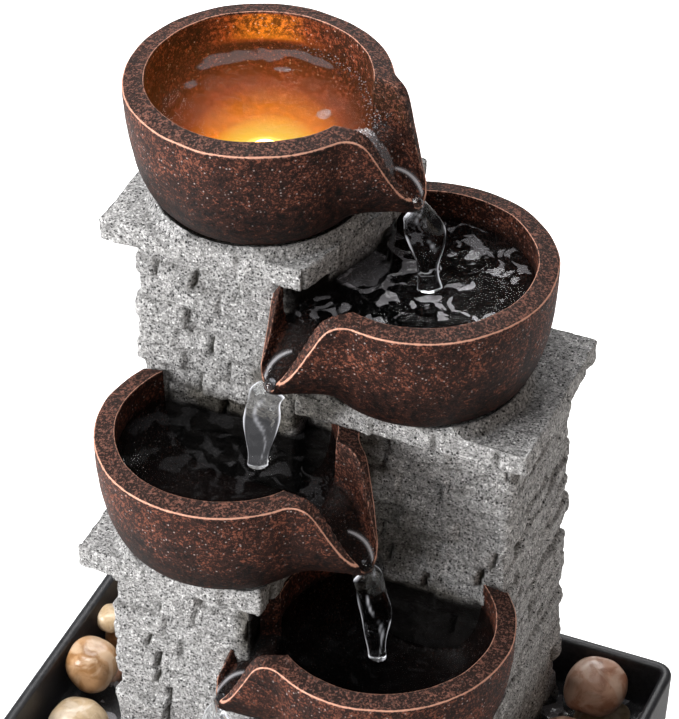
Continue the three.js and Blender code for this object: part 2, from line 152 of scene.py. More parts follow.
# cuts a piece by upright prisms, each a convex outline with a low and a high end, in millimetres: it is split
# along every side, the faces inside go, and the openings are filled
def cutByPrisms(piece, prisms):
    bm = bmesh.new()
    bm.from_mesh(piece.data)
    for corners, low, high in prisms:
        corners = np.array(corners, float)
        edge = np.roll(corners, -1, 0) - corners
        out = np.stack([edge[:, 1], -edge[:, 0]], -1) / np.linalg.norm(edge, axis=1, keepdims=True)
        for corner, normal in zip(corners, out):
            geom = bm.verts[:] + bm.edges[:] + bm.faces[:]
            spot, facing = (*(corner * mm), 0), (*normal, 0)
            bmesh.ops.bisect_plane(bm, geom=geom, plane_co=spot, plane_no=facing, dist=tiny)
        inside = []
        for face in bm.faces:
            c = np.array(face.calc_center_median()) / mm
            if low < c[2] < high and np.all(np.sum((c[:2] - corners) * out, axis=1) < 0):
                inside.append(face)
        bmesh.ops.delete(bm, geom=inside, context="FACES")
    bmesh.ops.holes_fill(bm, edges=[e for e in bm.edges if e.is_boundary], sides=0)
    bmesh.ops.triangulate(bm, faces=[f for f in bm.faces if len(f.verts) > 4])
    bmesh.ops.recalc_face_normals(bm, faces=bm.faces)
    bm.to_mesh(piece.data)
    bm.free()


# gives a piece its finish, the body it moves with and the nodes that it stands for
def place(piece, body, finish, nodes=()):
    piece.data.materials.clear()
    piece.data.materials.append(finish)
    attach(piece, body)
    if nodes:
        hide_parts(*nodes)
    return piece


# a node's box in millimetres
def cornerBox(node):
    low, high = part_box(node)
    return np.array(low) / mm, np.array(high) / mm


# ---- shader maths ----

def grey(level):
    return (level, level, level)


# wraps a socket, so that a sum, a product or a power of values adds its Math nodes
class Wire:
    def __init__(self, maker, socket):
        self.maker, self.socket = maker, socket

    def calc(self, operation, other, swap=False):
        pair = (other, self) if swap else (self, other)
        return self.maker.node("Math", {"operation": operation}, *pair)

    def __add__(self, other):
        return self.calc("ADD", other)

    def __sub__(self, other):
        return self.calc("SUBTRACT", other)

    def __rsub__(self, other):
        return self.calc("SUBTRACT", other, True)

    def __mul__(self, other):
        return self.calc("MULTIPLY", other)

    def __pow__(self, other):
        return self.calc("POWER", other)

    __radd__ = __add__
    __rmul__ = __mul__

    def clamp(self):
        return self.maker.node("Clamp", {}, self)

    # 0 below low, 1 above high, smooth between
    def above(self, low, high):
        return self.maker.node("MapRange", {"interpolation_type": "SMOOTHSTEP"}, self, low, high, 0.0, 1.0)


# a material: its Principled shader, with constants by name, and the nodes that feed it
class Finish:
    def __init__(self, name, **constants):
        self.material = bpy.data.materials.new(name)
        self.material.use_nodes = True
        self.tree = self.material.node_tree
        self.shader = self.tree.nodes["Principled BSDF"]
        for key, value in constants.items():
            self.shader.inputs[key.replace("_", " ")].default_value = value
        self.coords = self.node("TexCoord", {}, output="Object")

    # one node: its settings first, then its sockets by position or by name
    def node(self, kind, settings, *values, output=0, **named):
        made = self.tree.nodes.new("ShaderNode" + kind)
        for key, value in settings.items():
            if key == "stops":
                while len(made.color_ramp.elements) < len(value):
                    made.color_ramp.elements.new(0.5)
                for stop, (at, colour) in zip(made.color_ramp.elements, value):
                    stop.position, stop.color = at, (*colour, 1)
            else:
                setattr(made, key, value)
        for key, value in [*enumerate(values), *named.items()]:
            self.feed(made.inputs[key], value)
        return Wire(self, made.outputs[output])

    def feed(self, socket, value):
        if isinstance(value, Wire):
            self.tree.links.new(value.socket, socket)
        elif isinstance(value, tuple) and socket.type == "RGBA":
            socket.default_value = (*value, 1)
        else:
            socket.default_value = value

    def mix(self, factor, a, b, blend="MIX"):
        made = self.tree.nodes.new("ShaderNodeMix")
        made.data_type, made.blend_type = "RGBA", blend
        for at, value in ((0, factor), (6, a), (7, b)):
            self.feed(made.inputs[at], value)
        return Wire(self, made.outputs[2])

    def times(self, a, b):
        return self.mix(1.0, a, b, "MULTIPLY")

    # cloudy noise with features of the given size in millimetres
    def clouds(self, size, detail=2.0, rough=0.5, warp=0.0):
        return self.node("TexNoise", {}, Vector=self.coords, Scale=1000 / size, Detail=detail,
                         Roughness=rough, Distortion=warp, output="Fac")

    def cells(self, size, output="Distance"):
        return self.node("TexVoronoi", {}, Vector=self.coords, Scale=1000 / size, output=output)

    # one random number for each cell of the given size
    def cellNumber(self, size):
        return self.node("SeparateColor", {}, self.cells(size, "Color"))

    # spots: in the cells whose number passes the share, as far from a cell's middle as the reach
    def spots(self, size, share, reach):
        return self.cellNumber(size).above(*share) * (1 - self.cells(size).above(*reach))

    def attribute(self, name):
        return self.node("Attribute", {"attribute_name": name}, output="Fac")

    def bump(self, height, distance, strength=1.0):
        made = self.node("Bump", {}, Height=height, Strength=strength, Distance=distance * mm, output="Normal")
        self.tree.links.new(made.socket, self.shader.inputs["Normal"])
        return made

    def set(self, **links):
        for key, value in links.items():
            self.feed(self.shader.inputs[key.replace("_", " ")], value)
        return self.material


# ---- finishes ----

# granite tones: the wet tone darkens both wet stone and painted shade, and the sunk tone is painted shade under
# water
granite = {"light": (0.56, 0.55, 0.545), "mid": (0.33, 0.325, 0.32), "speck": (0.016, 0.016, 0.017),
           "chip": (0.92, 0.91, 0.90), "wet": (0.26, 0.24, 0.20), "joint": (0.040, 0.037, 0.028),
           "sunk": (0.006, 0.0045, 0.004), "gritDark": 0.6, "gritLight": 1.3}


# light granite-look resin: mottled greys, dense black specks and white chips, darker in joints, darker where
# wet and in painted shade under bowls and spouts, and painted near black with shade under water
def makeGranite():
    f = Finish("graniteResin", Specular_IOR_Level=0.25)
    mottled = f.mix(f.clouds(2.6, 4, 0.8).above(0.38, 0.62), granite["mid"], granite["light"])
    grit = f.clouds(1.0, 3, 0.85)
    gritTone = f.mix(grit.above(0.42, 0.58), grey(granite["gritDark"]), grey(granite["gritLight"]))
    mottled = f.times(mottled, gritTone)
    mottled = f.mix(f.spots(1.2, (0.76, 0.8), (0.24, 0.42)) * 0.85, mottled, granite["chip"])
    fine = f.spots(0.95, (0.76, 0.78), (0.26, 0.42))
    coarse = f.spots(1.7, (0.86, 0.88), (0.2, 0.34))
    dust = f.clouds(0.8, 2, 0.7).above(0.6, 0.63)
    specks = (fine + coarse + dust * 0.8).clamp()
    colour = f.mix(specks * 0.93, mottled, granite["speck"])
    joint = f.attribute("joint")
    wet = f.attribute("wet")
    colour = f.mix((joint * 1.1).clamp() * 0.92, colour, granite["joint"])
    # darker where wet, and painted shade under bowls and spouts, from one mask
    colour = f.times(colour, f.mix(wet, grey(1.0), granite["wet"]))
    # painted shade: stone under a bowl's water or in its throat is painted near black
    colour = f.mix(f.attribute("sunk"), colour, granite["sunk"])
    f.bump(f.clouds(1.8, 4, 0.75) + grit * 0.35 - specks * 0.3, 0.85)
    return f.set(Base_Color=colour, Roughness=0.88 - wet * 0.5)


# copper tones: the bright tone is the painted highlight on the bowls' edges
copper = {"dark": (0.0035, 0.0022, 0.002), "brown": (0.034, 0.0125, 0.0085), "grain": (0.27, 0.092, 0.056),
          "highlightTone": (0.80, 0.42, 0.30), "fleck": (0.62, 0.50, 0.47), "rim": (0.25, 0.115, 0.085),
          "rimDark": (0.019, 0.0115, 0.0095)}
# the lamp's glow on the bowl round it, from dark to bright
glowStops = [(0.0, (0, 0, 0)), (0.12, (0.045, 0.008, 0.002)), (0.35, (0.26, 0.045, 0.006)),
             (0.6, (0.85, 0.22, 0.01)), (0.82, (1.0, 0.62, 0.06)), (1.0, (1.0, 0.93, 0.45))]


# painted resin: near-black brown under sponged copper grains, with painted highlights along its edges, darker
# where wet and painted black with shade under water; with a glow, the lamp's light is painted on as emission
def makeCopper(name, glow=0.0):
    f = Finish(name, Specular_IOR_Level=0.14)
    height = f.attribute("rise")
    rim = f.attribute("rim")
    edge = f.attribute("edge")
    wet = f.attribute("wet")
    patch = f.clouds(10, 3, 0.6)
    sponge = f.clouds(2.1, 4, 0.85)
    fine = f.clouds(0.9, 3, 0.8)
    cover = (height.above(0.0, 0.75) * 0.15 + patch * 0.3 - 0.19).clamp()
    brown = f.mix((sponge + cover).above(0.44, 0.6), copper["dark"], copper["brown"])
    grain = (fine * 0.6 + sponge * 0.4 + cover * 0.62).above(0.592, 0.632)
    body = f.mix(grain, brown, copper["grain"])
    flake = f.spots(1.05, (0.87, 0.9), (0.18, 0.4)) * cover.above(0.01, 0.1)
    body = f.mix(flake * 0.75, body, copper["fleck"])
    rimTone = f.mix((fine * 0.6 + sponge * 0.4).above(0.49, 0.57), copper["rimDark"], copper["rim"])
    body = f.mix(rim * 0.85, body, rimTone)
    # painted highlight: the edges are made bright copper, broken up by the sponge
    edgeHighlight = (edge * (sponge * 2.4 - 0.3 + f.clouds(14, 2) * 0.4)).above(0.42, 0.85)
    body = f.mix(edgeHighlight * 0.92, body, copper["highlightTone"])
    body = f.mix(wet * 0.9, body, copper["dark"])
    f.bump(sponge * 0.8 + fine * 0.5 + grain * 0.3, 0.4)
    if glow:
        lit = f.attribute("glow")
        tone = f.node("ValToRGB", {"stops": glowStops}, lit, output="Color")
        speckle = f.mix(sponge.above(0.42, 0.6), grey(0.22), grey(1.2))
        even = (lit.above(0.6, 0.8) + wet * 1.6).clamp()
        f.set(Emission_Strength=glow, Emission_Color=f.times(tone, f.mix(even, speckle, grey(1.0))))
    metal = (edgeHighlight * 0.35 + grain * 0.25).clamp() * (1 - wet)
    return f.set(Base_Color=body, Metallic=metal, Roughness=0.5 - wet * 0.3 + fine * 0.1)


# a plain part's finish: two tones in soft clouds, with a fine bump
def makePlain(name, dark, light, size, rough, bumpSize=0.0, **constants):
    f = Finish(name, **constants)
    grain = f.clouds(size, 3, 0.6)
    if bumpSize:
        f.bump(f.clouds(bumpSize, 2, 0.6), 0.12, 0.6)
    return f.set(Base_Color=f.mix(grain.above(0.3, 0.7), dark, light), Roughness=rough + grain * 0.14)


# polished river stone: soft clouds and a few veins of three tones
def makePebble(name, low, mid, high):
    f = Finish(name, Specular_IOR_Level=0.5, Coat_Roughness=0.12, Coat_Weight=0.35)
    cloud = f.clouds(7, 5, 0.62, 0.6)
    vein = f.clouds(16, 4, 0.5, 1.8)
    colour = f.mix(cloud.above(0.35, 0.62), low, mid)
    colour = f.mix(vein.above(0.5, 0.62) * 0.7, colour, high)
    pits = f.clouds(1.0, 3, 0.7).above(0.62, 0.72)
    colour = f.mix(pits * 0.35, colour, low)
    f.bump(cloud * 0.6 - pits * 0.3, 0.25)
    return f.set(Base_Color=colour, Roughness=0.28 + cloud * 0.12)


# water tones: clear; the white of painted glints, reflections and foam on pools; the streams' tint; and the
# painted highlight that glows on streams, with its strength
waterLook = {"clear": grey(0.02), "glintsAndFoam": (0.68, 0.66, 0.69), "stream": (0.97, 0.99, 1.0),
             "streamHighlight": (0.62, 0.62, 0.66), "streamHighlightGlow": 0.75}


# still water: a clear sheet that mirrors by the angle it is seen at, with painted glints and reflections as
# soft white patches, and white foam flecks
def makePool(name):
    f = Finish(name, Roughness=0.06, IOR=1.33)
    wave = f.bump(f.clouds(10, 2, 0.4, 0.6), 0.9)
    facing = f.node("LayerWeight", {}, Blend=0.5, Normal=wave, output="Facing")
    glint = f.attribute("glint")
    # painted glints: soft white patches and streaks, as much as the glint attribute allows
    patch = f.clouds(8.5, 2, 0.45, 1.1).above(0.56, 0.6) * glint
    swirl = f.clouds(6.0, 2, 0.5, 1.6)
    streak = (1 - swirl.above(0.5, 0.515)) * swirl.above(0.485, 0.5) * glint
    foam = (1 - f.cells(1.0).above(0.2, 0.36)) * f.attribute("foam")
    glintsAndFoam = (patch * 0.62 + streak * 0.35 + foam * 0.6 + f.attribute("sheen")).clamp()
    return f.set(Base_Color=f.mix(glintsAndFoam, waterLook["clear"], waterLook["glintsAndFoam"]),
                 Alpha=(facing ** 4.0 * 0.5 + glintsAndFoam * 0.9 + 0.02).clamp())


# falling water: clear, with painted highlights that glow as white threads where the sheen is
def makeStream():
    w = waterLook
    f = Finish("fallingWater", Roughness=0.02, IOR=1.33, Transmission_Weight=1.0,
               Emission_Strength=w["streamHighlightGlow"])
    f.bump(f.clouds(5.0, 1, 0.5, 0.5), 0.35)
    return f.set(Base_Color=w["stream"], Emission_Color=f.mix(f.attribute("sheen"), grey(0.0), w["streamHighlight"]))


graniteFinish = makeGranite()
copperFinish = makeCopper("copperResin")
copperLit = makeCopper("copperResinLit", 1.0)
trayFinish = makePlain("trayBlack", (0.012, 0.012, 0.014), (0.030, 0.030, 0.034), 2.0, 0.34, 0.9)
rubberFinish = makePlain("rubberBlack", (0.012, 0.012, 0.012), (0.024, 0.024, 0.024), 1.2, 0.72, 0.5)
pumpFinish = makePlain("pumpBlack", (0.015, 0.015, 0.017), (0.028, 0.028, 0.031), 3.0, 0.42, 0.7)
whiteFinish = makePlain("whitePlastic", (0.66, 0.66, 0.63), (0.78, 0.78, 0.75), 4.0, 0.38, 0.8)
magnetFinish = makePlain("magnetDark", (0.03, 0.03, 0.034), (0.07, 0.07, 0.078), 1.0, 0.32, 0.6, Metallic=0.6)
ceramicFinish = makePlain("ceramicShaft", (0.74, 0.72, 0.68), (0.86, 0.84, 0.80), 1.5, 0.16)
tubeFinish = makePlain("clearTube", (0.62, 0.66, 0.66), (0.78, 0.82, 0.82), 5.0, 0.16, 1.2,
                       Transmission_Weight=0.55)
poolFinish = makePool("poolWater")
streamFinish = makeStream()
pebbleFinishes = [
    makePebble("pebbleTan", (0.30, 0.145, 0.05), (0.52, 0.30, 0.15), (0.66, 0.47, 0.31)),
    makePebble("pebbleRose", (0.40, 0.18, 0.105), (0.66, 0.385, 0.265), (0.78, 0.56, 0.43)),
    makePebble("pebbleSand", (0.42, 0.29, 0.16), (0.64, 0.48, 0.30), (0.74, 0.62, 0.48)),
    makePebble("pebbleBrown", (0.34, 0.16, 0.10), (0.62, 0.37, 0.255), (0.76, 0.54, 0.41)),
]
print("finishes made")

# ---- bowls ----

# column a spreads behind bowl 2: its plain edge, where the spread ends in y, its bottom, and its slab's corner
flank = {"edge": -11.15, "turn": 40.0, "low": 184.8, "slabCorner": -3.9, "slabTurn": 39.8}
bowlShape = {"rim": 45.0, "inner": 37.8, "base": 26.6, "floorRadius": 20.0, "floor": 6.0, "crown": 1.1,
             "rimFall": 1.3, "edgeRound": 0.9, "around": 480, "spread": 0.30, "water": -11.0, "gap": 0.25}
# along a spout, by distance from the bowl's centre: lip height, channel half width and channel floor
spoutLine = {"at": [30, 36, 40, 43, 46, 48.5, 51, 53, 55.5, 60],
             "lip": [0, 0, 0, -0.5, -2.6, -8.2, -14.5, -19.5, -25.2, -31],
             "half": [15.4, 15, 14.4, 13.8, 12.8, 11.4, 9.8, 8.6, 7.0, 4.6],
             "floor": [-18, -18, -18.4, -19.6, -22, -24.6, -27.4, -29.6, -32, -34.6]}
# the outline of a bowl near its spout: angle from the spout and radius
spoutOutline = {"turn": [0, 5.5, 8, 11, 16, 21.5, 25, 29, 180],
                "radius": [58.9, 58.6, 57.2, 55.2, 52.0, 48.6, 46.3, 45, 45]}
# each bowl: which corner of its box is a plain arc, the way its spout points in degrees and what cuts it
bowls = {
    "bowl_1": {"corner": (-1, -1), "spout": -2.0, "cuts": []},
    "bowl_2": {"corner": (1, 1), "spout": -130.0, "cuts": ["column_a"]},
    "bowl_3": {"corner": (-1, -1), "spout": -11.0, "cuts": ["column_a", "column_b", "cap_slab_b"]},
    "bowl_4": {"corner": (1, -1), "spout": -151.0, "cuts": ["column_b", "column_c"]},
}
# the lamp's glow in the bowl round it: its wide part and how it ends, its core, what is left far off, and
# the lit patch on the wall behind the lamp
lampGlare = {"wide": 0.90, "reach": 27.5, "fall": 3.2, "core": 0.1, "coreReach": 6.0, "rest": 0.03,
             "patch": 0.55}


# a smooth reading of a spout line: the mean of four readings of its straight pieces, 0.8 mm apart
def alongSpout(key, forward):
    shifts = (-1.2, -0.4, 0.4, 1.2)
    return sum(np.interp(forward + shift, spoutLine["at"], spoutLine[key]) for shift in shifts) / 4


# the inner wall's radius at a depth below the rim: a quarter round from the floor's edge up to the rim
def innerRadius(z, floorZ):
    s = bowlShape
    c = np.clip((z + 5) / (floorZ + 5), 0, 1)
    return s["floorRadius"] + (s["inner"] - s["floorRadius"]) * np.sqrt(1 - c * c) ** 0.8


# the outline seen from above: the mean of three readings of the radius by angle, 1.2 degrees apart
def spoutEdge(turn):
    o = spoutOutline
    return sum(np.interp(abs(turn) + shift, o["turn"], o["radius"]) for shift in (-1.2, 0, 1.2)) / 3


# how far the open hollow reaches at each angle: the inner wall, or the channel's side or tip in the spout
def hollowReach(turn):
    a = np.radians(turn)
    reach = np.full(np.shape(turn), bowlShape["inner"])
    for radius in np.arange(bowlShape["inner"], 60.0, 0.1):
        inChannel = (abs(radius * np.sin(a)) < alongSpout("half", radius * np.cos(a))) & (np.cos(a) > 0)
        reach = np.where(inChannel & (radius < spoutEdge(turn)), radius, reach)
    return reach


# angles round a bowl from its spout, in degrees, packed closer near the spout: a share of t and a share of
# t cubed
def spoutTurns(count, spread):
    t = np.linspace(-1, 1, count, endpoint=False)
    return 180 * (spread * t + (1 - spread) * t ** 3)


# height of the rim, lips and channel floor at a radius and angle: the rim falls from its inner edge to its
# outer edge, drops along the lips, and gives way to the channel floor inside the channel's half width
def topHeight(radius, turn):
    a = np.radians(turn)
    forward, side = radius * np.cos(a), abs(radius * np.sin(a))
    s = bowlShape
    reach, edge = hollowReach(turn), spoutEdge(turn)
    out = np.clip((radius - reach) / np.maximum(edge - reach, 1.5), 0, 1)
    lip = s["crown"] - s["rimFall"] * out + alongSpout("lip", np.where(np.cos(a) > 0, forward, 0))
    half = alongSpout("half", forward)
    inChannel = (1 - smoothStep(half - 0.9, half + 0.3, side)) * (forward > 20)
    hollow = alongSpout("floor", forward) + 3.5 * (side / half) ** 2
    return lip + (np.minimum(hollow, lip) - lip) * inChannel, inChannel, half - side


# a bowl's centre at the height of its rim, and how tall it is below that
def bowlSpot(name):
    low, high = cornerBox(name)
    side = bowls[name]["corner"]
    xy = [(high[i] - bowlShape["rim"]) if side[i] > 0 else (low[i] + bowlShape["rim"]) for i in range(2)]
    rimZ = high[2] - bowlShape["crown"]
    return np.array([xy[0], xy[1], rimZ]), rimZ - low[2]


def boxCorners(low, high):
    return [(low[0], low[1]), (high[0], low[1]), (high[0], high[1]), (low[0], high[1])]


# takes the neighbouring columns and slabs out of a bowl or its water
def cutByNeighbours(piece, name, gap):
    prisms = []
    for node in bowls[name]["cuts"]:
        low, high = cornerBox(node)
        if node == "column_a":
            spread = [(-14, 4 - gap), (flank["edge"] + gap, 4 - gap), (high[0] + gap, flank["turn"] - gap),
                      (high[0] + gap, high[1] + gap), (-14, high[1] + gap)]
            if name == "bowl_2":
                prisms.append((spread, flank["low"] - gap, high[2] + gap))
            high[0] = flank["edge"]
        prisms.append((boxCorners(low - gap, high + gap), low[2] - gap, high[2] + gap))
    if prisms:
        cutByPrisms(piece, prisms)


# points from radius, angle from the spout and height over the rim
def toWorld(radius, turn, z, centre, spout):
    a = np.radians(turn + spout)
    return np.stack([centre[0] + radius * np.cos(a), centre[1] + radius * np.sin(a), centre[2] + z + 0 * a], -1)


# the outer wall's radius at a height: a quarter round from the foot's edge up to the rim's outer edge
def roundWall(z, height):
    s = bowlShape
    c = np.clip(1 - (z + height) / (height - s["rimFall"]), 0, 1)
    return s["base"] + (s["rim"] - s["base"]) * np.sqrt(1 - c * c) ** 0.8


# the lamp's glow at points of its bowl: a wide part that fades with a power of the distance, a bell for the
# core and a constant, less on the wall, plus a bell along x for the patch on the wall
def lampGlow(points, flat):
    g = lampGlare
    low, high = cornerBox("lamp_lens")
    lamp = (low + high) / 2
    away = np.linalg.norm(points - lamp, axis=-1)
    onWall = smoothStep(-12, -9, flat[..., 2])
    patch = bell(points[..., 0] - lamp[0] + 10, 17) * smoothStep(18, 30, flat[..., 1]) * onWall
    glare = g["wide"] * np.exp(-(away / g["reach"]) ** g["fall"]) + g["core"] * bell(away, g["coreReach"])
    return np.clip((glare + g["rest"]) * (1 - 0.3 * onWall) + g["patch"] * patch, 0, 1)


# a bowl: one surface of rings from under its foot, up its outside, over its rim and lips and down its inside
def buildBowl(name, finish):
    s, spec = bowlShape, bowls[name]
    centre, height = bowlSpot(name)
    floorZ = -height + s["floor"]
    turn = spoutTurns(s["around"], s["spread"])[None, :]
    edge = spoutEdge(turn)
    drop = s["edgeRound"]
    edgeZ = topHeight(edge, turn)[0] - drop
    rows, rise, rim, edgeHighlight, wet = [], [], [], [], []

    def add(r, z, riseValue, rimValue, edgeHighlightValue, wetAndShadeValue):
        shape = np.broadcast_shapes(r.shape, z.shape)
        rows.append(toWorld(np.broadcast_to(r, shape), np.broadcast_to(turn, shape), z, centre, spec["spout"]))
        for store, value in ((rise, riseValue), (rim, rimValue), (edgeHighlight, edgeHighlightValue), (wet, wetAndShadeValue)):
            store.append(np.broadcast_to(value, shape))

    # underside, with a softly rounded foot
    under = np.array([4.0, 12.0, 20.0, 24.5, 26.0])[:, None]
    add(under + 0 * turn, -height + np.array([0.9, 0.8, 0.5, 0, 0.1])[:, None] + 0 * turn, 0, 0, 0, 0)
    # outside: a quarter round from the foot up, pushed out under the spout from its underside upwards
    u = 0.5 - 0.5 * np.cos(np.pi * np.linspace(0.04, 1, 62)[:, None])
    z = -height + (height + edgeZ) * u
    r = roundWall(z, height)
    start = np.minimum(-38.0, edgeZ - 3.5)
    swell = np.clip((z - start) / (edgeZ - start), 0, 1)
    swell = (1 - (1 - swell) ** 2.2) ** 0.75
    r = r + (edge - roundWall(edgeZ, height)) * swell
    hidden = bell(turn, 24) * smoothStep(-22, -30, z)
    add(r, z, (1 + z / height) * (1 - 0.5 * hidden), 0, 0, 0)
    # top of the rim, from its rounded outer edge in to the inner edge
    t = 0.5 - 0.5 * np.cos(np.pi * np.linspace(0, 1, 38)[:, None])
    r = edge + (s["inner"] - edge) * t
    top, channel, gap = topHeight(r, turn)
    roll = np.clip((r - (edge - drop)) / drop, 0, 1)
    innerRoll = np.clip((s["inner"] + 0.7 - r) / 0.7, 0, 1)
    z = top - drop * (1 - np.sqrt(1 - roll ** 2)) - 0.5 * (1 - np.sqrt(1 - innerRoll ** 2)) * (1 - channel)
    nearSpout = bell(turn, 30.0)
    # painted highlight lines along the rim's outer and inner edges and the channel's sides near the spout
    highlightLine = np.maximum(bell(edge - 0.28 - r, 0.25), bell(r - s["inner"] - 0.2, 0.2) * (1 - channel) * 0.75)
    highlightLine = np.maximum(highlightLine, bell(gap + 0.3, 0.25) * (r > 38) * nearSpout * 0.75)
    # the channel's floor under the flowing water: wet, and painted dark with shade
    deep = smoothStep(0.6, 3.2, gap) * channel
    add(r, z, 1.0 + 0 * z, (1 - channel) * (1 - 0.4 * nearSpout), highlightLine, deep)
    # inside wall, down from the rim or from the channel floor
    topIn = topHeight(s["inner"] + 0 * turn, turn)[0] - 0.5
    t = np.linspace(0.02, 1, 40)[:, None]
    z = topIn + (floorZ - topIn) * t
    r = innerRadius(z, floorZ)
    # a wet band just above the water, and painted near-black shade on the wall below it
    waterline = smoothStep(s["water"] + 4.5, s["water"] + 0.5, z)
    # a painted highlight along the inside wall's top edge
    add(r, z, 0.9 - 0.5 * t + 0 * z, 0, bell(z - topIn, 0.5) * 0.6, waterline)
    # the floor, under the water, is painted dark with shade
    floorR = s["floorRadius"] * np.array([0.93, 0.8, 0.6, 0.4, 0.2])[:, None]
    add(floorR + 0 * turn, floorZ + 0 * floorR + 0 * turn, 0.3, 0, 0, 1)

    points = np.vstack(rows)
    flat = points - centre
    wobble = fractal(points, 17, 3, 3)
    outward = flat[..., :2] / np.maximum(np.linalg.norm(flat[..., :2], axis=-1, keepdims=True), 1)
    points[..., :2] += outward * (0.30 * wobble)[..., None]
    points[..., 2] += 0.22 * (noise(points, 9, 8) - 1) * smoothStep(-30, -4, flat[..., 2])
    values = {"rise": np.vstack(rise), "rim": np.vstack(rim), "edge": np.vstack(edgeHighlight), "wet": np.vstack(wet)}
    if name == "bowl_1":
        inside = np.vstack([np.full(grid.shape, float(part > 2)) for part, grid in enumerate(rise)])
        values["glow"] = inside * lampGlow(points, flat)
        # bowl 1 keeps half the painted shade under its water, where the lamp's glow lights it
        values["wet"] = values["wet"] * 0.5
    piece = ringMesh(name + "_shell", points, values=values)
    cutByNeighbours(piece, name, s["gap"])
    return place(piece, "tower", finish, [name])


for bowlName in bowls:
    buildBowl(bowlName, copperLit if bowlName == "bowl_1" else copperFinish)
print("bowls made")

# ---- columns ----

masonry = {"course": (7.6, 9.6), "length": (12.0, 25.0), "out": 1.6, "tilt": 0.7, "slant": 0.9, "joint": 2.4,
           "jointHalf": 0.75, "seam": 1.0, "seamHalf": 0.55, "grain": 0.42, "inset": 0.35, "soften": 2,
           "corner": 2.2, "step": 0.8, "wall": 6.0, "archHalf": 9.0, "archRise": 7.0}
# where a column is darker, from falling or standing water and painted shade under bowls: centre, reach in x, y,
# z and strength
wetAndShadePlaces = {
    "column_a": [((-16, 3, 182), (13, 9, 16), 0.8), ((-32, 3, 166), (30, 9, 8), 0.95),
                 ((-11, 20, 212), (5, 40, 30), 0.9), ((-40, 40, 12), (50, 50, 10), 0.7)],
    "column_b": [((4, 9, 150), (17, 8, 40), 0.85), ((12, 9, 126), (30, 8, 22), 0.7),
                 ((30, 9, 97), (44, 8, 12), 0.9), ((27, 40, 12), (60, 50, 10), 0.7)],
    "column_c": [((-11, -25, 105), (8, 16, 26), 0.9), ((-37, -17, 12), (50, 50, 10), 0.7)],
    "column_d": [((24, -18, 12), (60, 50, 10), 0.8)],
}


# a convex outline of corner points with rounded corners: points, outward normals, distance along it and its
# whole length
def outline(corners, corner, step):
    corners = np.array(corners, float)
    edge = np.roll(corners, -1, 0) - corners
    edge = edge / np.linalg.norm(edge, axis=1, keepdims=True)
    out = np.stack([edge[:, 1], -edge[:, 0]], -1)
    before = np.roll(out, 1, 0)
    half = (out + before) / (1 + np.sum(out * before, axis=1, keepdims=True))
    centres = corners - corner * half
    points, normals = [], []
    for i, c in enumerate(centres):
        start = math.atan2(before[i, 1], before[i, 0])
        sweep = (math.atan2(out[i, 1], out[i, 0]) - start) % (2 * math.pi)
        turns = start + sweep * np.linspace(0, 1, 5)
        arc = np.stack([np.cos(turns), np.sin(turns)], -1)
        points.append(c + corner * arc)
        normals.append(arc)
        first, last = c + corner * out[i], centres[(i + 1) % len(centres)] + corner * out[i]
        count = max(2, int(np.linalg.norm(last - first) / step))
        t = np.linspace(0, 1, count, endpoint=False)[1:, None]
        points.append(first + (last - first) * t)
        normals.append(np.broadcast_to(out[i], (len(t), 2)))
    points, normals = np.vstack(points), np.vstack(normals)
    length = np.cumsum(np.linalg.norm(np.roll(points, -1, 0) - points, axis=1))
    return points, normals, np.concatenate([[0], length[:-1]]), length[-1]


# each point of a grid made half itself and a quarter each neighbour, along both ways, closed round the second
def blurred(grid, passes):
    for _ in range(passes):
        grid = (np.roll(grid, 1, 1) + 2 * grid + np.roll(grid, -1, 1)) / 4
        padded = np.vstack([grid[:1], grid, grid[-1:]])
        grid = (padded[:-2] + 2 * padded[1:-1] + padded[2:]) / 4
    return grid


# stone courses, for each point along (s) and up (z): the stone's own offset and tilt, blurred, less a bell for
# the slanting groove at its ends and a bell for the seam above and below it
def stonework(s, z, total, high, draw):
    m = masonry
    heights = draw.uniform(*m["course"], int(high / m["course"][0]) + 3)
    tops = np.cumsum(heights)
    course = np.clip(np.searchsorted(tops, z), 0, len(tops) - 1)
    below = np.concatenate([[0], tops])[course]
    fromEdge = np.minimum(z - below, tops[course] - z)
    push, groove = np.zeros_like(z), np.zeros_like(z)
    for c in range(course.max() + 1):
        lengths = draw.uniform(*m["length"], int(total / m["length"][0]) + 2)
        ends = np.cumsum(lengths)
        ends = ends[ends < total - m["length"][0]] + draw.uniform(-4, 4)
        ends = np.append(ends, total + 99)
        here = course == c
        stone = np.searchsorted(ends, s[here])
        out = draw.uniform(-1, 1, len(ends) + 1)
        deep = draw.uniform(0, 1, len(ends) + 1) ** 1.1
        tilt = draw.uniform(-1, 1, len(ends) + 1)
        out[len(ends) - 1] = out[0]
        up = (z[here] - below[here]) / heights[c] - 0.5
        toEnds = s[here][:, None] - ends[None, :]
        nearest = np.min(abs(toEnds - m["slant"] * up[:, None]), axis=1)
        strength = deep[np.argmin(abs(toEnds), axis=1)]
        groove[here] = bell(nearest, m["jointHalf"]) * strength * smoothStep(0.52, 0.36, abs(up))
        push[here] = m["out"] * (out[stone] + m["tilt"] * tilt[stone] * up)
    seam = bell(fromEdge, m["seamHalf"])
    depth = m["joint"] * groove + m["seam"] * seam
    return blurred(push, m["soften"]) - depth, np.maximum(smoothStep(0.25, 0.8, groove), seam * 0.3)


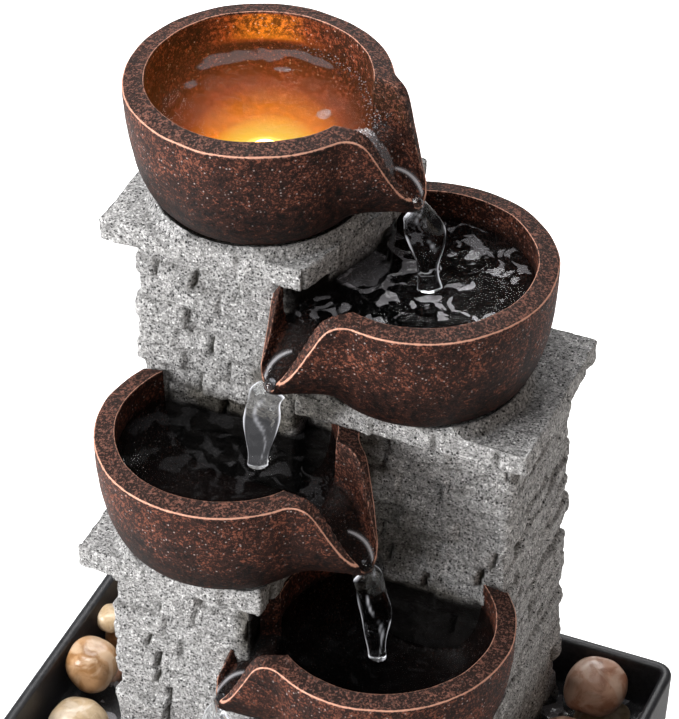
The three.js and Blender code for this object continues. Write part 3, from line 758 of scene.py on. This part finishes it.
# how dark each point is, from wetness and painted shade: the strongest of the places, each full inside its
# ellipsoid and gone a little outside
def wetAndShadeAt(points, places):
    wet = np.zeros(points.shape[:-1])
    for centre, reach, strength in places:
        d = np.linalg.norm((points - np.array(centre)) / np.array(reach), axis=-1)
        wet = np.maximum(wet, strength * (1 - smoothStep(0.6, 1.15, d + 0.25 * noise(points, 5, 77))))
    return wet


# painted shade: stone inside a bowl's hollow under its water, or in its spout's throat, lies in the dark:
# painted near black
def sunkenShade(points):
    dark = np.zeros(points.shape[:-1])
    for name, spec in bowls.items():
        centre, height = bowlSpot(name)
        flat = points - centre
        a = math.radians(spec["spout"])
        forward = flat[..., 0] * math.cos(a) + flat[..., 1] * math.sin(a)
        side = abs(flat[..., 1] * math.cos(a) - flat[..., 0] * math.sin(a))
        radius = np.linalg.norm(flat[..., :2], axis=-1)
        below = smoothStep(1.2, -1.5, flat[..., 2] - bowlShape["water"] - 1.5 * noise(points, 6, 3))
        throat = (forward > 20) & (side < 16.5) & (radius < 47) & (flat[..., 2] < 1.5)
        shade = np.where(throat, 1.0, below * (radius < 38.6))
        dark = np.maximum(dark, shade * (flat[..., 2] > -height - 1))
    return dark


# a column: rings round its rounded box from its arched foot up, pushed out and in by its stonework, then down
# its inside
def buildColumn(key):
    name = "column_" + key
    low, high = cornerBox(name)
    m = masonry
    draw = np.random.default_rng(100 + ord(key))
    if key == "a":
        high[0] = flank["edge"]
    xy, normal, s, total = outline(boxCorners(low, high), m["corner"], m["step"])
    middle = (low[0] + high[0]) / 2
    onFace = abs(normal[:, 1]) > 0.99
    underArch = 1 - smoothStep(m["archHalf"] - 2, m["archHalf"], abs(xy[:, 0] - middle))
    foot = low[2] + m["archRise"] * underArch * onFace
    t = np.linspace(0, 1, int((high[2] - low[2]) / m["step"]))[:, None]
    z = foot + (high[2] - foot) * t
    outer = np.stack([xy[None, :, 0] + 0 * z, xy[None, :, 1] + 0 * z, z], -1)
    sGrid = s[None, :] + 0 * z
    shifted = sGrid + 0.7 * fractal(outer, 4.5, 2, 5)
    zShifted = z - low[2] + 0.9 * fractal(outer, 6.5, 2, 9)
    push, groove = stonework(shifted, np.clip(zShifted, 0, None), total, high[2] - low[2] + 12, draw)
    push = push + m["grain"] * fractal(outer, 3.2, 3, 21) - m["inset"]
    outer[..., :2] += normal[None] * push[..., None]
    inner = xy - normal * (m["wall"] - 0.4)
    levels = np.linspace(1, 0, 5)[:, None]
    zIn = foot + (high[2] - foot) * levels
    inside = np.stack([inner[None, :, 0] + 0 * zIn, inner[None, :, 1] + 0 * zIn, zIn], -1)
    points = np.vstack([outer, inside])
    wet = wetAndShadeAt(points, wetAndShadePlaces[name])
    joint = np.vstack([groove, np.zeros(inside.shape[:2])])
    values = {"joint": joint, "wet": wet, "sunk": sunkenShade(points)}
    piece = ringMesh(name + "_stone", points, loop=True, values=values)
    if key == "a":
        openDoorway(piece)
    place(piece, "tower", graniteFinish, [name])


# the doorway for the pump door: the back wall's faces inside it go, and its inner and outer edges are bridged
def openDoorway(piece):
    low, high = cornerBox("pump_door")
    lip, behind = 4.0, 40.0
    left, right, bottom, top = low[0] + lip, high[0] - lip, low[2] + lip, high[2] - lip
    bm = bmesh.new()
    bm.from_mesh(piece.data)
    for spot, normal in (((left, 0, 0), (1, 0, 0)), ((right, 0, 0), (1, 0, 0)), ((0, 0, bottom), (0, 0, 1)),
                         ((0, 0, top), (0, 0, 1))):
        geom = [g for g in bm.faces if all(v.co.y > behind * mm for v in g.verts)]
        edges = {e for g in geom for e in g.edges}
        verts = {v for g in geom for v in g.verts}
        spot = [c * mm for c in spot]
        bmesh.ops.bisect_plane(bm, geom=[*verts, *edges, *geom], plane_co=spot, plane_no=normal, dist=tiny)
    gone = []
    for face in bm.faces:
        c = face.calc_center_median() / mm
        if c.y > behind and left < c.x < right and bottom < c.z < top:
            gone.append(face)
    bmesh.ops.delete(bm, geom=gone, context="FACES")
    rimEdges = [e for e in bm.edges if e.is_boundary]
    bmesh.ops.bridge_loops(bm, edges=rimEdges)
    bmesh.ops.recalc_face_normals(bm, faces=bm.faces)
    bm.to_mesh(piece.data)
    bm.free()


for columnKey in "abcd":
    buildColumn(columnKey)


# the spread of column a behind bowl 2: rough side walls over its outline, closed above and below
def buildFlank():
    low, high = cornerBox("column_a")
    corners = [(-13, 5.5), (flank["edge"] + 0.3, 4.0), (high[0], flank["turn"]), (high[0], high[1]),
               (-13, high[1])]
    xy, normal, s, _ = outline(corners, 1.5, 1.0)
    z = np.linspace(flank["low"], high[2] - 0.3, 50)[:, None]
    points = np.stack([xy[None, :, 0] + 0 * z, xy[None, :, 1] + 0 * z, z + 0 * s], -1)
    points[..., :2] += normal[None] * (0.5 * fractal(points, 5, 3, 71) - 0.5)[..., None]
    middle = np.array([-5.0, 45.0])
    caps = []
    for end, shrinkBy in ((0, (0.2, 0.6, 0.9)), (-1, (0.9, 0.6, 0.2))):
        for share in shrinkBy:
            cap = points[end].copy()
            cap[:, :2] = middle + (cap[:, :2] - middle) * share
            caps.append(cap)
    points = np.vstack([np.array(caps[:3]), points, np.array(caps[3:])])
    # darker round bowl 2: wetness and painted shade
    places = [((-4, 30, 192), (30, 60, 28), 0.85), ((6, 66, 215), (30, 22, 30), 0.9)]
    values = {"joint": 0 * points[..., 0], "wet": wetAndShadeAt(points, places), "sunk": sunkenShade(points)}
    piece = ringMesh("column_a_flank", points, values=values)
    place(piece, "tower", graniteFinish, ["column_a"])


buildFlank()
print("columns made")

# ---- cap slabs ----

slabShape = {"corner": 1.8, "step": 0.9, "round": 1.3, "notch": 1.5, "topDrop": 0.5, "seat": 39.5,
             "seatRise": 4.4, "places": {"b": [(-2, 6, 16, 16, 0.8)], "c": [(-3, -30, 10, 16, 0.5)]}}


# a slab: its top spreads from the middle to a rounded edge, runs down a side with a notch at each stone's end
# and back under. Round the bowl's foot the top rises into a seat, kept below the bowl's own round wall
def buildSlab(key, bowlName):
    name = "cap_slab_" + key
    low, high = cornerBox(name)
    p = slabShape
    draw = np.random.default_rng(300 + ord(key))
    corners = boxCorners(low, high)
    if key == "a":
        corners[1:2] = [(flank["slabCorner"], low[1]), (high[0], flank["slabTurn"])]
    xy, normal, s, total = outline(corners, p["corner"], p["step"])
    centre, bowlHeight = bowlSpot(bowlName)
    hub = centre[:2] if key == "a" else np.clip(centre[:2], low[:2] + 8, high[:2] - 8)
    hole = 19.0 if key == "a" else 0.6
    direction = xy - hub
    reach = np.linalg.norm(direction, axis=1)
    direction = direction / reach[:, None]
    t = np.linspace(0, 1, 60)[:, None]
    t = 1 - (1 - t) ** 1.2
    topR = hole + (reach - p["round"] - hole) * t
    topXy = hub + direction * topR[..., None]
    fromHub = np.linalg.norm(topXy - centre[:2], axis=-1)
    ragged = fromHub + 0.6 * noise(withHeight(topXy, 0.0), 14, 6)
    seat = p["seatRise"] * (1 - smoothStep(p["seat"] - 4.0, p["seat"], ragged))
    wall = np.clip((fromHub - bowlShape["base"]) / (bowlShape["rim"] - bowlShape["base"]), 0, 1) ** 1.25
    seat = np.minimum(seat, (bowlHeight - bowlShape["rimFall"]) * (1 - np.sqrt(1 - wall ** 2)) - 0.2)
    edgeTop = high[2] - p["topDrop"]
    topZ = edgeTop + seat + 0.22 * fractal(withHeight(topXy, high[2]), 11, 3, 31) - 0.25
    turn = np.linspace(0, np.pi / 2, 5)[1:, None]
    edgeXy = (xy - normal * p["round"])[None] + normal[None] * (p["round"] * np.sin(turn))[..., None]
    edgeZ = edgeTop - p["round"] * (1 - np.cos(turn)) + 0 * s
    down = np.linspace(0, 1, 11)[1:, None]
    sideTop = edgeTop - p["round"]
    sideZ = sideTop + (low[2] + 0.6 - sideTop) * down + 0 * s
    sideXy = np.broadcast_to(xy[None], (*sideZ.shape, 2))
    side = np.vstack([withHeight(edgeXy, edgeZ), withHeight(sideXy, sideZ)])
    ends = np.cumsum(draw.uniform(13, 34, int(total / 13)))
    shifted = s[None] + 0.8 * fractal(side, 5, 2, 13)
    toEnds = abs(shifted[..., None] - ends)
    near, which = np.min(toEnds, axis=-1), np.argmin(toEnds, axis=-1)
    notch = bell(near, 0.9) * (draw.uniform(0, 1, len(ends)) ** 0.7)[which]
    stone = np.searchsorted(ends, shifted)
    out = draw.uniform(-0.6, 0.5, len(ends) + 1)[stone]
    depth = np.clip((high[2] - side[..., 2]) / 2.0, 0, 1)
    sidePush = depth * (out - p["notch"] * notch + 0.55 * fractal(side, 4.2, 3, 17) - 0.4)
    side[..., :2] += normal[None] * sidePush[..., None]
    side[..., 2] += 0.5 * noise(side, 5.5, 19) * depth - 0.35 * notch * (1 - depth)
    u = np.linspace(1, 0, 7)[1:, None]
    underR = hole + (reach - 1.5 - hole) * u
    under = withHeight(hub + direction * underR[..., None], low[2] + 0.3)
    points = np.vstack([withHeight(topXy, topZ), side, under])
    joint = np.vstack([0 * topR, notch * depth, 0 * underR])
    # the disc round the bowl's foot is painted shade under the bowl's overhanging rim, kept in the same mask as
    # wetness
    places = [((centre[0], centre[1], high[2]), (31.5, 31.5, 3), 0.35)]
    for x, y, wide, deep, strength in p["places"].get(key, []):  # where water drips on the top
        places.append(((x, y, high[2]), (wide, deep, 14), strength))
    values = {"joint": joint, "wet": wetAndShadeAt(points, places), "sunk": 0 * joint}
    piece = ringMesh(name + "_stone", points, loop=key == "a", values=values)
    place(piece, "tower", graniteFinish, [name])


for slabKey, bowlName in zip("abcd", bowls):
    buildSlab(slabKey, bowlName)
print("slabs made")

# ---- tray, feet and pebbles ----

trayShape = {"corner": 7.0, "wall": 4.0, "floor": 4.0, "draft": 1.2, "lip": 1.2}


# the tray: one profile of (inset, height) carried round a rounded rectangle, closed over the floor and under it
def buildTray():
    low, high = cornerBox("basin_tray")
    t = trayShape
    tall = high[2] - low[2]
    profile = [(60, 0.0), (12, 0.0), (t["draft"] + 1.5, 0.0), (t["draft"] + 0.4, 0.4), (t["draft"], 1.5),
               (0.5, tall * 0.5), (0.0, tall - t["lip"] - 1.0), (0.0, tall - t["lip"])]
    for turn in np.linspace(0, np.pi, 9)[1:-1]:
        half = t["wall"] / 2
        profile.append((half - half * math.cos(turn), tall - t["lip"] + t["lip"] * math.sin(turn)))
    inside = t["wall"]
    profile += [(inside, tall - t["lip"]), (inside + 0.2, tall * 0.5), (inside + 0.5, t["floor"] + 2.5),
                (inside + 1.2, t["floor"] + 0.8), (inside + 3.0, t["floor"]), (14, t["floor"]),
                (60, t["floor"])]
    xy, normal, _, _ = outline(boxCorners(low, high), t["corner"], 1.5)
    middle = (low[:2] + high[:2]) / 2
    rows = []
    for inset, height in profile:
        ring = xy - normal * min(inset, t["corner"] - 0.2)
        spare = max(0.0, inset - t["corner"] + 0.2)
        half = (high[:2] - low[:2]) / 2
        ring = middle + (ring - middle) * (1 - spare / half)
        rows.append(np.column_stack([ring, np.full(len(ring), low[2] + height)]))
    piece = ringMesh("basin_tray_shell", np.array(rows))
    place(piece, "base", trayFinish, ["basin_tray"])


buildTray()

for i in range(1, 5):
    node = f"basin_foot_{i}"
    low, high = cornerBox(node)
    middle, radius = (low + high) / 2, (high[0] - low[0]) / 2
    profile = [(radius * 0.4, 0.25), (radius * 0.8, 0.2), (radius - 0.6, 0), (radius - 0.1, 0.5), (radius, 1.1),
               (radius - 0.2, 1.9), (radius * 0.6, 2.0)]
    foot = turned(node + "_pad", profile, (middle[0], middle[1], low[2]))
    place(foot, "base", rubberFinish, [node])


# each pebble's finish
pebbleKinds = [0, 2, 2, 1, 2, 1, 3, 3, 1, 2, 0, 3, 2, 1, 3, 1, 0, 2]


# a pebble: a ball swollen a little towards a box and dented by slow noise, fitted to its box
def buildPebble(number):
    node = f"pebble_{number:02d}"
    low, high = cornerBox(node)
    middle, half = (low + high) / 2, (high - low) / 2
    turn = np.linspace(0, 2 * np.pi, 56, endpoint=False)[None, :]
    tip = np.linspace(-np.pi / 2, np.pi / 2, 32)[1:-1, None]
    ball = np.stack([np.cos(tip) * np.cos(turn), np.cos(tip) * np.sin(turn), np.sin(tip) + 0 * turn], -1)
    swollen = ball / (np.sum(abs(ball) ** 2.4, axis=-1, keepdims=True) ** (1 / 2.4))
    dents = 0.10 * noise(ball + number * 7, 0.9, number) + 0.04 * noise(ball + number, 0.45, number + 5)
    shape = swollen * (1 + dents)[..., None]
    shape = shape / abs(shape).reshape(-1, 3).max(0)
    piece = ringMesh(node + "_stone", middle + shape * half)
    finish = pebbleFinishes[pebbleKinds[number - 1]]
    place(piece, "base", finish, [node])


for number in range(1, 19):
    buildPebble(number)
print("tray and pebbles made")

# ---- water ----

waterShape = {"around": 300, "spread": 0.35, "rows": 90, "thick": 0.5, "ripple": 0.34, "gap": 0.1,
              "glint": {"bowl_1": 0.0, "bowl_2": 1.0, "bowl_3": 0.22, "bowl_4": 0.1},
              "foam": {"bowl_1": 1.0, "bowl_3": 0.3}}
# painted reflections on a pool, as white patches: direction, distance, half width in degrees, half depth and
# strength
paintedReflections = {
    "bowl_1": [(132, 29, 30, 4.2, 0.3), (84, 31.5, 24, 2.4, 0.3), (92, 22, 8, 1.6, 0.36), (8, 22, 8, 2.6, 0.36),
               (-18, 30, 11, 4.0, 0.4), (-4, 38, 7, 4.5, 0.42), (-3, 46, 5, 3, 0.36), (176, 26, 5, 2.2, 0.3)],
    "bowl_2": [(176, 22, 26, 8, 0.5)],
}
# the tray's water has an even painted glint and painted sheen all over
basinWater = {"level": 12.6, "inset": 4.1, "corner": 3.2, "thick": 0.5, "ripple": 0.3, "glint": 0.7,
              "sheen": 0.10, "foam": 0.0}
# the end of a spout, from its bowl's centre: where the water leaves it and how low, a point ahead, and where
# the stream lands
spoutEnd = {"leaves": 57.0, "low": -32.2, "ahead": 63.0, "lands": 62.0}
# each stream: the bowl below, its half width and half thickness, its twist in degrees, the seed of its bulges
# and how much painted sheen it glows with all over
streams = {
    "bowl_1": {"into": "bowl_2", "wide": 6.6, "thick": 1.3, "twist": -58, "seed": 2, "evenSheen": 0.0},
    "bowl_2": {"into": "bowl_3", "wide": 6.8, "thick": 1.0, "twist": 62, "seed": 7, "evenSheen": 0.06},
    "bowl_3": {"into": "bowl_4", "wide": 6.0, "thick": 1.3, "twist": -56, "seed": 13, "evenSheen": 0.0},
    "bowl_4": {"into": None, "wide": 6.2, "thick": 1.2, "twist": 80, "seed": 19, "evenSheen": 0.05},
}


# a point straight ahead of a spout
def spoutTip(name, forward, z):
    centre, _ = bowlSpot(name)
    return toWorld(np.array(forward), np.array(0.0), np.array(z), centre, bowls[name]["spout"])


# where a stream lands in a bowl or, for None, in the tray
def landing(name):
    for source, spec in streams.items():
        if spec["into"] == name:
            return spoutTip(source, spoutEnd["lands"], 0.0)[:2]
    return None


# a bowl's water: a disc that runs out over the channel floor, rippled by noise and by rings that die away from
# where a stream lands, and closed by a copy of itself just below
def buildPool(name):
    w = waterShape
    centre, _ = bowlSpot(name)
    spout = bowls[name]["spout"]
    turn = spoutTurns(w["around"], w["spread"])[None, :]
    reach = hollowReach(turn)
    reach = np.where(reach > bowlShape["inner"] + 0.2, reach - 0.5, reach + 0.05)
    level = bowlShape["water"]
    t = np.linspace(0.02, 1, w["rows"])[:, None]
    r = reach * t
    forward = r * np.cos(np.radians(turn))
    side = abs(r * np.sin(np.radians(turn)))
    flowing = smoothStep(39, 48, forward) * (r > 20)
    bed = alongSpout("floor", forward) + 3.5 * (side / alongSpout("half", forward)) ** 2 + 1.3
    z = level + (np.minimum(bed, level) - level) * flowing
    points = toWorld(r, turn + 0 * r, z, centre, spout)
    spot = landing(name)
    flat = points.copy()
    flat[..., 2] = 0
    wave = w["ripple"] * fractal(flat, 11, 3, int(centre[2]))
    if spot is not None:
        d = np.linalg.norm(points[..., :2] - spot, axis=-1)
        rings = 0.75 * np.cos(d / 1.35 + 1.3 * noise(flat, 9, 4)) * np.exp(-d / 11)
        wave = wave + rings + 0.6 * noise(flat, 3.6, 5) * np.exp(-d / 13)
    points[..., 2] += wave * (1 - 0.3 * flowing)
    # glints spread from where the stream lands, or from the middle
    splashAt = centre[:2] if spot is None else spot
    splash = np.exp(-np.linalg.norm(points[..., :2] - splashAt, axis=-1) / 30)
    glint = np.clip(w["glint"][name] * (0.35 + splash), 0, 1) * smoothStep(1.0, 0.97, t) * (1 - flowing)
    # a painted highlight in the spout, a thin white line: a bell round a parabola beside the middle of the
    # channel
    near = r * np.sin(np.radians(turn)) * (1 if name in ("bowl_2", "bowl_4") else -1)
    along = (forward - 53.5) / 5.2
    arch = bell(near + 2.0 + 3.0 * (1 - along ** 2), 0.8) * smoothStep(1.08, 0.92, abs(along))
    sheen = 0.75 * arch
    worldTurn = np.degrees(np.arctan2(points[..., 1] - centre[1], points[..., 0] - centre[0]))
    # painted reflections: each patch whitens the water inside its ragged ellipse
    for heading, far, wide, deep, strength in paintedReflections.get(name, []):
        off = (worldTurn - heading + 180) % 360 - 180
        blob = np.sqrt((off / wide) ** 2 + ((r - far) / deep) ** 2)
        blob = blob + 0.34 * noise(flat, 7, 41) + 0.2 * noise(flat, 3.0, 43)
        sheen = np.maximum(sheen, strength * smoothStep(1.08, 0.9, blob))
    # foam lies by the wall on one side
    foam = w["foam"].get(name, 0) * smoothStep(32, 36, r) * (1 - flowing)
    foam = foam * smoothStep(70, 50, abs(worldTurn - 35))
    under = points.copy()
    under[..., 2] -= w["thick"]
    grids = {"glint": glint, "sheen": sheen, "foam": foam}
    values = {key: np.vstack([grid, 0 * grid]) for key, grid in grids.items()}
    piece = ringMesh(name + "_water", np.vstack([points, under[::-1]]), values=values)
    cutByNeighbours(piece, name, w["gap"])
    return place(piece, "tower", poolFinish)


# a falling stream: flattened rings down a short curve, each turned a little further and dented by noise
def buildStream(name):
    spec = streams[name]
    start = spoutTip(name, spoutEnd["leaves"], spoutEnd["low"])
    lean = spoutTip(name, spoutEnd["ahead"], spoutEnd["low"]) - start
    if spec["into"]:
        centre, _ = bowlSpot(spec["into"])
        endZ = centre[2] + bowlShape["water"] - 0.6
    else:
        endZ = basinWater["level"] - 0.6
    fall = start[2] - endZ
    t = np.linspace(0, 1, 90)[:, None]
    drop = t ** 1.3
    path = start[None, :] + lean[None, :] * (np.sqrt(drop) * 0.9)
    path[:, 2] = start[2] + 0.8 - fall * drop[:, 0]
    turn = np.linspace(0, 2 * np.pi, 44, endpoint=False)[None, :]
    base = np.radians(bowls[name]["spout"] + 90 + spec["twist"] * smoothStep(0.0, 0.45, t))
    pinch = 0.22 + 0.78 * smoothStep(0, 0.3, t) - 0.4 * smoothStep(0.4, 0.95, t)
    wide = spec["wide"] * pinch * (1 + 0.16 * np.sin(t * 11 + spec["seed"]))
    thick = spec["thick"] * (1 + 0.35 * np.sin(t * 7 + 2 * spec["seed"])) * (1 + 0.3 * t)
    along, across = wide * np.cos(turn), thick * np.sin(turn) + 0.35 * wide * np.cos(turn) ** 2
    x = path[:, :1] + along * np.cos(base) - across * np.sin(base)
    y = path[:, 1:2] + along * np.sin(base) + across * np.cos(base)
    rows = np.stack([x, y, path[:, 2:] + 0 * turn], -1)
    squeezed = rows * np.array([1, 1, 0.35])
    bulge = 1 + 0.2 * noise(squeezed, 4.2, spec["seed"])
    middle = np.stack([path[:, 0], path[:, 1]], -1)[:, None, :]
    rows[..., :2] = middle + (rows[..., :2] - middle) * bulge[..., None]
    # painted highlights, glowing white where the edges catch the light and on a fold that weaves down the
    # middle
    rim = smoothStep(0.86, 0.97, abs(np.cos(turn))) * smoothStep(0.06, 0.2, t)
    rim = rim * smoothStep(-0.25, 0.15, noise(squeezed, 3.6, 71))
    weave = along / np.maximum(wide, 0.1) - 0.4 * np.sin(9 * t + spec["seed"])
    fold = bell(weave, 0.055) * smoothStep(0.15, 0.4, noise(squeezed, 4.0, 73))
    # the painted highlights and the even painted sheen glow through the emission
    sheen = np.clip(rim + 0.5 * fold + spec["evenSheen"], 0, 1)
    piece = ringMesh(name + "_stream", rows, values={"sheen": sheen})
    return place(piece, "tower", streamFinish)


for bowlName in bowls:
    buildPool(bowlName)
    buildStream(bowlName)


# the tray's water: a rounded rectangle rippled by noise and by rings from the last stream, closed by a copy
# just below
def buildBasinWater():
    w = basinWater
    low, high = cornerBox("basin_tray")
    xy, _, _, _ = outline(boxCorners(low + w["inset"], high - w["inset"]), w["corner"], 2.0)
    middle = (low[:2] + high[:2]) / 2
    t = np.linspace(0.01, 1, 70)[:, None]
    flat = withHeight(middle + (xy - middle)[None] * t[..., None], 0.0)
    z = w["level"] + w["ripple"] * fractal(flat, 13, 3, 61)
    d = np.linalg.norm(flat[..., :2] - landing(None), axis=-1)
    z = z + 0.8 * np.cos(d / 1.5) * np.exp(-d / 13)
    points = flat.copy()
    points[..., 2] = z
    under = points.copy()
    under[..., 2] -= w["thick"]
    shape = (2 * len(points), points.shape[1])
    values = {key: np.full(shape, w[key]) for key in ("glint", "sheen", "foam")}
    piece = ringMesh("basin_water", np.vstack([points, under[::-1]]), values=values)
    return place(piece, "base", poolFinish)


buildBasinWater()
print("water made")

# ---- pieces that keep their CAD shape ----

# the lamp's flange lies in the lamp's own glare
litFlange = makePlain("lampFlange", (0.30, 0.16, 0.05), (0.42, 0.24, 0.08), 2.0, 0.4, 0.5,
                      Emission_Color=(1.0, 0.62, 0.10, 1), Emission_Strength=0.9)
keptFinishes = {
    "pump_door": graniteFinish, "pump_housing": pumpFinish, "pump_strainer": pumpFinish,
    "flow_dial": whiteFinish, "impeller": magnetFinish, "impeller_shaft": ceramicFinish,
    "outlet_nozzle": pumpFinish, "outlet_gasket": rubberFinish, "lamp_housing": litFlange,
    "lamp_gasket": rubberFinish, "lamp_nut": whiteFinish, "lamp_lead": rubberFinish,
    "lamp_connector": pumpFinish, "supply_tube": tubeFinish, "pump_cord_gland": rubberFinish,
    **{f"pump_suction_cup_{i}": rubberFinish for i in range(1, 5)},
}
for node, finish in keptFinishes.items():
    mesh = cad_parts[node].data
    mesh.materials.clear()
    mesh.materials.append(finish)

lensShape = {"glow": 14.0, "dark": (1.0, 0.45, 0.08), "light": (1.0, 0.60, 0.16)}


# the lamp's lens: a dome that glows, a quarter ellipse turned about its axis over a short straight wall
def buildLens():
    low, high = cornerBox("lamp_lens")
    middle, radius, tall = (low + high) / 2, (high[0] - low[0]) / 2, high[2] - low[2]
    t = np.linspace(0.08, 1, 14) * np.pi / 2
    dome = [(radius * math.sin(a), tall * (0.5 + 0.5 * math.cos(a))) for a in t]
    profile = dome + [(radius, tall * 0.25), (radius, 0.0), (radius * 0.5, 0.0)]
    lens = turned("lamp_lens_dome", profile, (middle[0], middle[1], low[2]))
    f = Finish("lampLens", Roughness=0.2, Emission_Strength=lensShape["glow"])
    grain = f.clouds(2.0, 2, 0.5)
    f.set(Base_Color=f.mix(grain, (1.0, 0.62, 0.2), (1.0, 0.72, 0.3)),
          Emission_Color=f.mix(grain, lensShape["dark"], lensShape["light"]))
    place(lens, "tower", f.material, ["lamp_lens"])


buildLens()
print("lamp made")


# ---- studio ----

# turns a camera or a light towards a spot
def aim(thing, spot):
    direction = np.array(spot) - np.array(thing.location)
    yaw = math.atan2(direction[0], direction[1])
    pitch = math.atan2(direction[2], math.hypot(direction[0], direction[1]))
    thing.rotation_euler = (math.pi / 2 + pitch, 0, -yaw)


def softBox(name, spot, size, power, colour):
    light = bpy.data.lights.new(name, "AREA")
    light.shape, light.size, light.energy, light.color = "SQUARE", size, power, colour
    holder = addObject(name, light)
    holder.location = spot
    aim(holder, studio["middle"])


studio = {"eye": (0.37687, -0.85905, 0.95690), "look": (-0.00216, 0.020625, 0.18677), "lens": 180.75,
          "middle": (0.0, 0.0, 0.15), "bulbPower": 0.03, "bulbColour": (1.0, 0.42, 0.1), "bulbRise": 0.009,
          "world": (0.98, 0.97, 1.0, 1), "worldStrength": 0.145, "floor": grey(0.9),
          "floorGlow": (0.15, 0.145, 0.135)}
# each soft light: place, size, power and colour
softLights = {
    "keyLight": ((-0.95, -0.95, 0.5), 0.7, 23.0, grey(1)),
    "backLight": ((-0.3, 0.95, 0.9), 0.5, 5.0, grey(1)),
    "topLight": ((-0.25, -0.1, 1.15), 0.6, 10.0, grey(1)),
    "fillLight": ((0.9, -0.3, 0.35), 0.6, 0.7, (1.0, 0.76, 0.52)),
}
camera = addObject("camera", bpy.data.cameras.new("camera"))
camera.data.lens, camera.data.sensor_width, camera.data.sensor_fit = studio["lens"], 36.0, "AUTO"
camera.data.clip_start, camera.data.clip_end = 0.05, 50.0
camera.location = studio["eye"]
aim(camera, studio["look"])
bpy.context.scene.camera = camera

for lightName, (spot, size, power, colour) in softLights.items():
    softBox(lightName, spot, size, power, colour)

# a small bulb over the lamp's lens
lampLow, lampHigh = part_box("lamp_lens")
bulb = bpy.data.lights.new("bulb", "POINT")
bulb.energy, bulb.color, bulb.shadow_soft_size = studio["bulbPower"], studio["bulbColour"], 0.004
bulbX, bulbY = (lampLow[0] + lampHigh[0]) / 2, (lampLow[1] + lampHigh[1]) / 2
addObject("bulb", bulb).location = (bulbX, bulbY, lampHigh[2] + studio["bulbRise"])

# the world is white to the camera and dimmer as a light
world = bpy.data.worlds.new("studioWorld")
bpy.context.scene.world = world
world.use_nodes = True
tree = world.node_tree
path = tree.nodes.new("ShaderNodeLightPath")
seen = tree.nodes.new("ShaderNodeBackground")
seen.inputs["Color"].default_value, seen.inputs["Strength"].default_value = (1, 1, 1, 1), 1.0
lit = tree.nodes["Background"]
lit.inputs["Color"].default_value = studio["world"]
lit.inputs["Strength"].default_value = studio["worldStrength"]
mixed = tree.nodes.new("ShaderNodeMixShader")
tree.links.new(path.outputs["Is Camera Ray"], mixed.inputs[0])
tree.links.new(lit.outputs[0], mixed.inputs[1])
tree.links.new(seen.outputs[0], mixed.inputs[2])
tree.links.new(mixed.outputs[0], tree.nodes["World Output"].inputs["Surface"])

# a pale floor that glows for the camera only, so that it stays near white
floorMesh = bpy.data.meshes.new("floor")
floorMesh.from_pydata([(-6, -6, 0), (6, -6, 0), (6, 6, 0), (-6, 6, 0)], [], [(0, 1, 2, 3)])
floor = addObject("floor", floorMesh)
floorFinish = Finish("paleFloor", Roughness=0.9, Emission_Strength=1.0)
seenDirectly = floorFinish.node("LightPath", {}, output="Is Camera Ray")
floorTone = floorFinish.mix(seenDirectly, studio["floorGlow"], studio["floor"])
floorMesh.materials.append(floorFinish.set(Base_Color=studio["floor"], Emission_Color=floorTone))
bpy.context.scene.view_settings.view_transform = "Standard"
print("studio made")
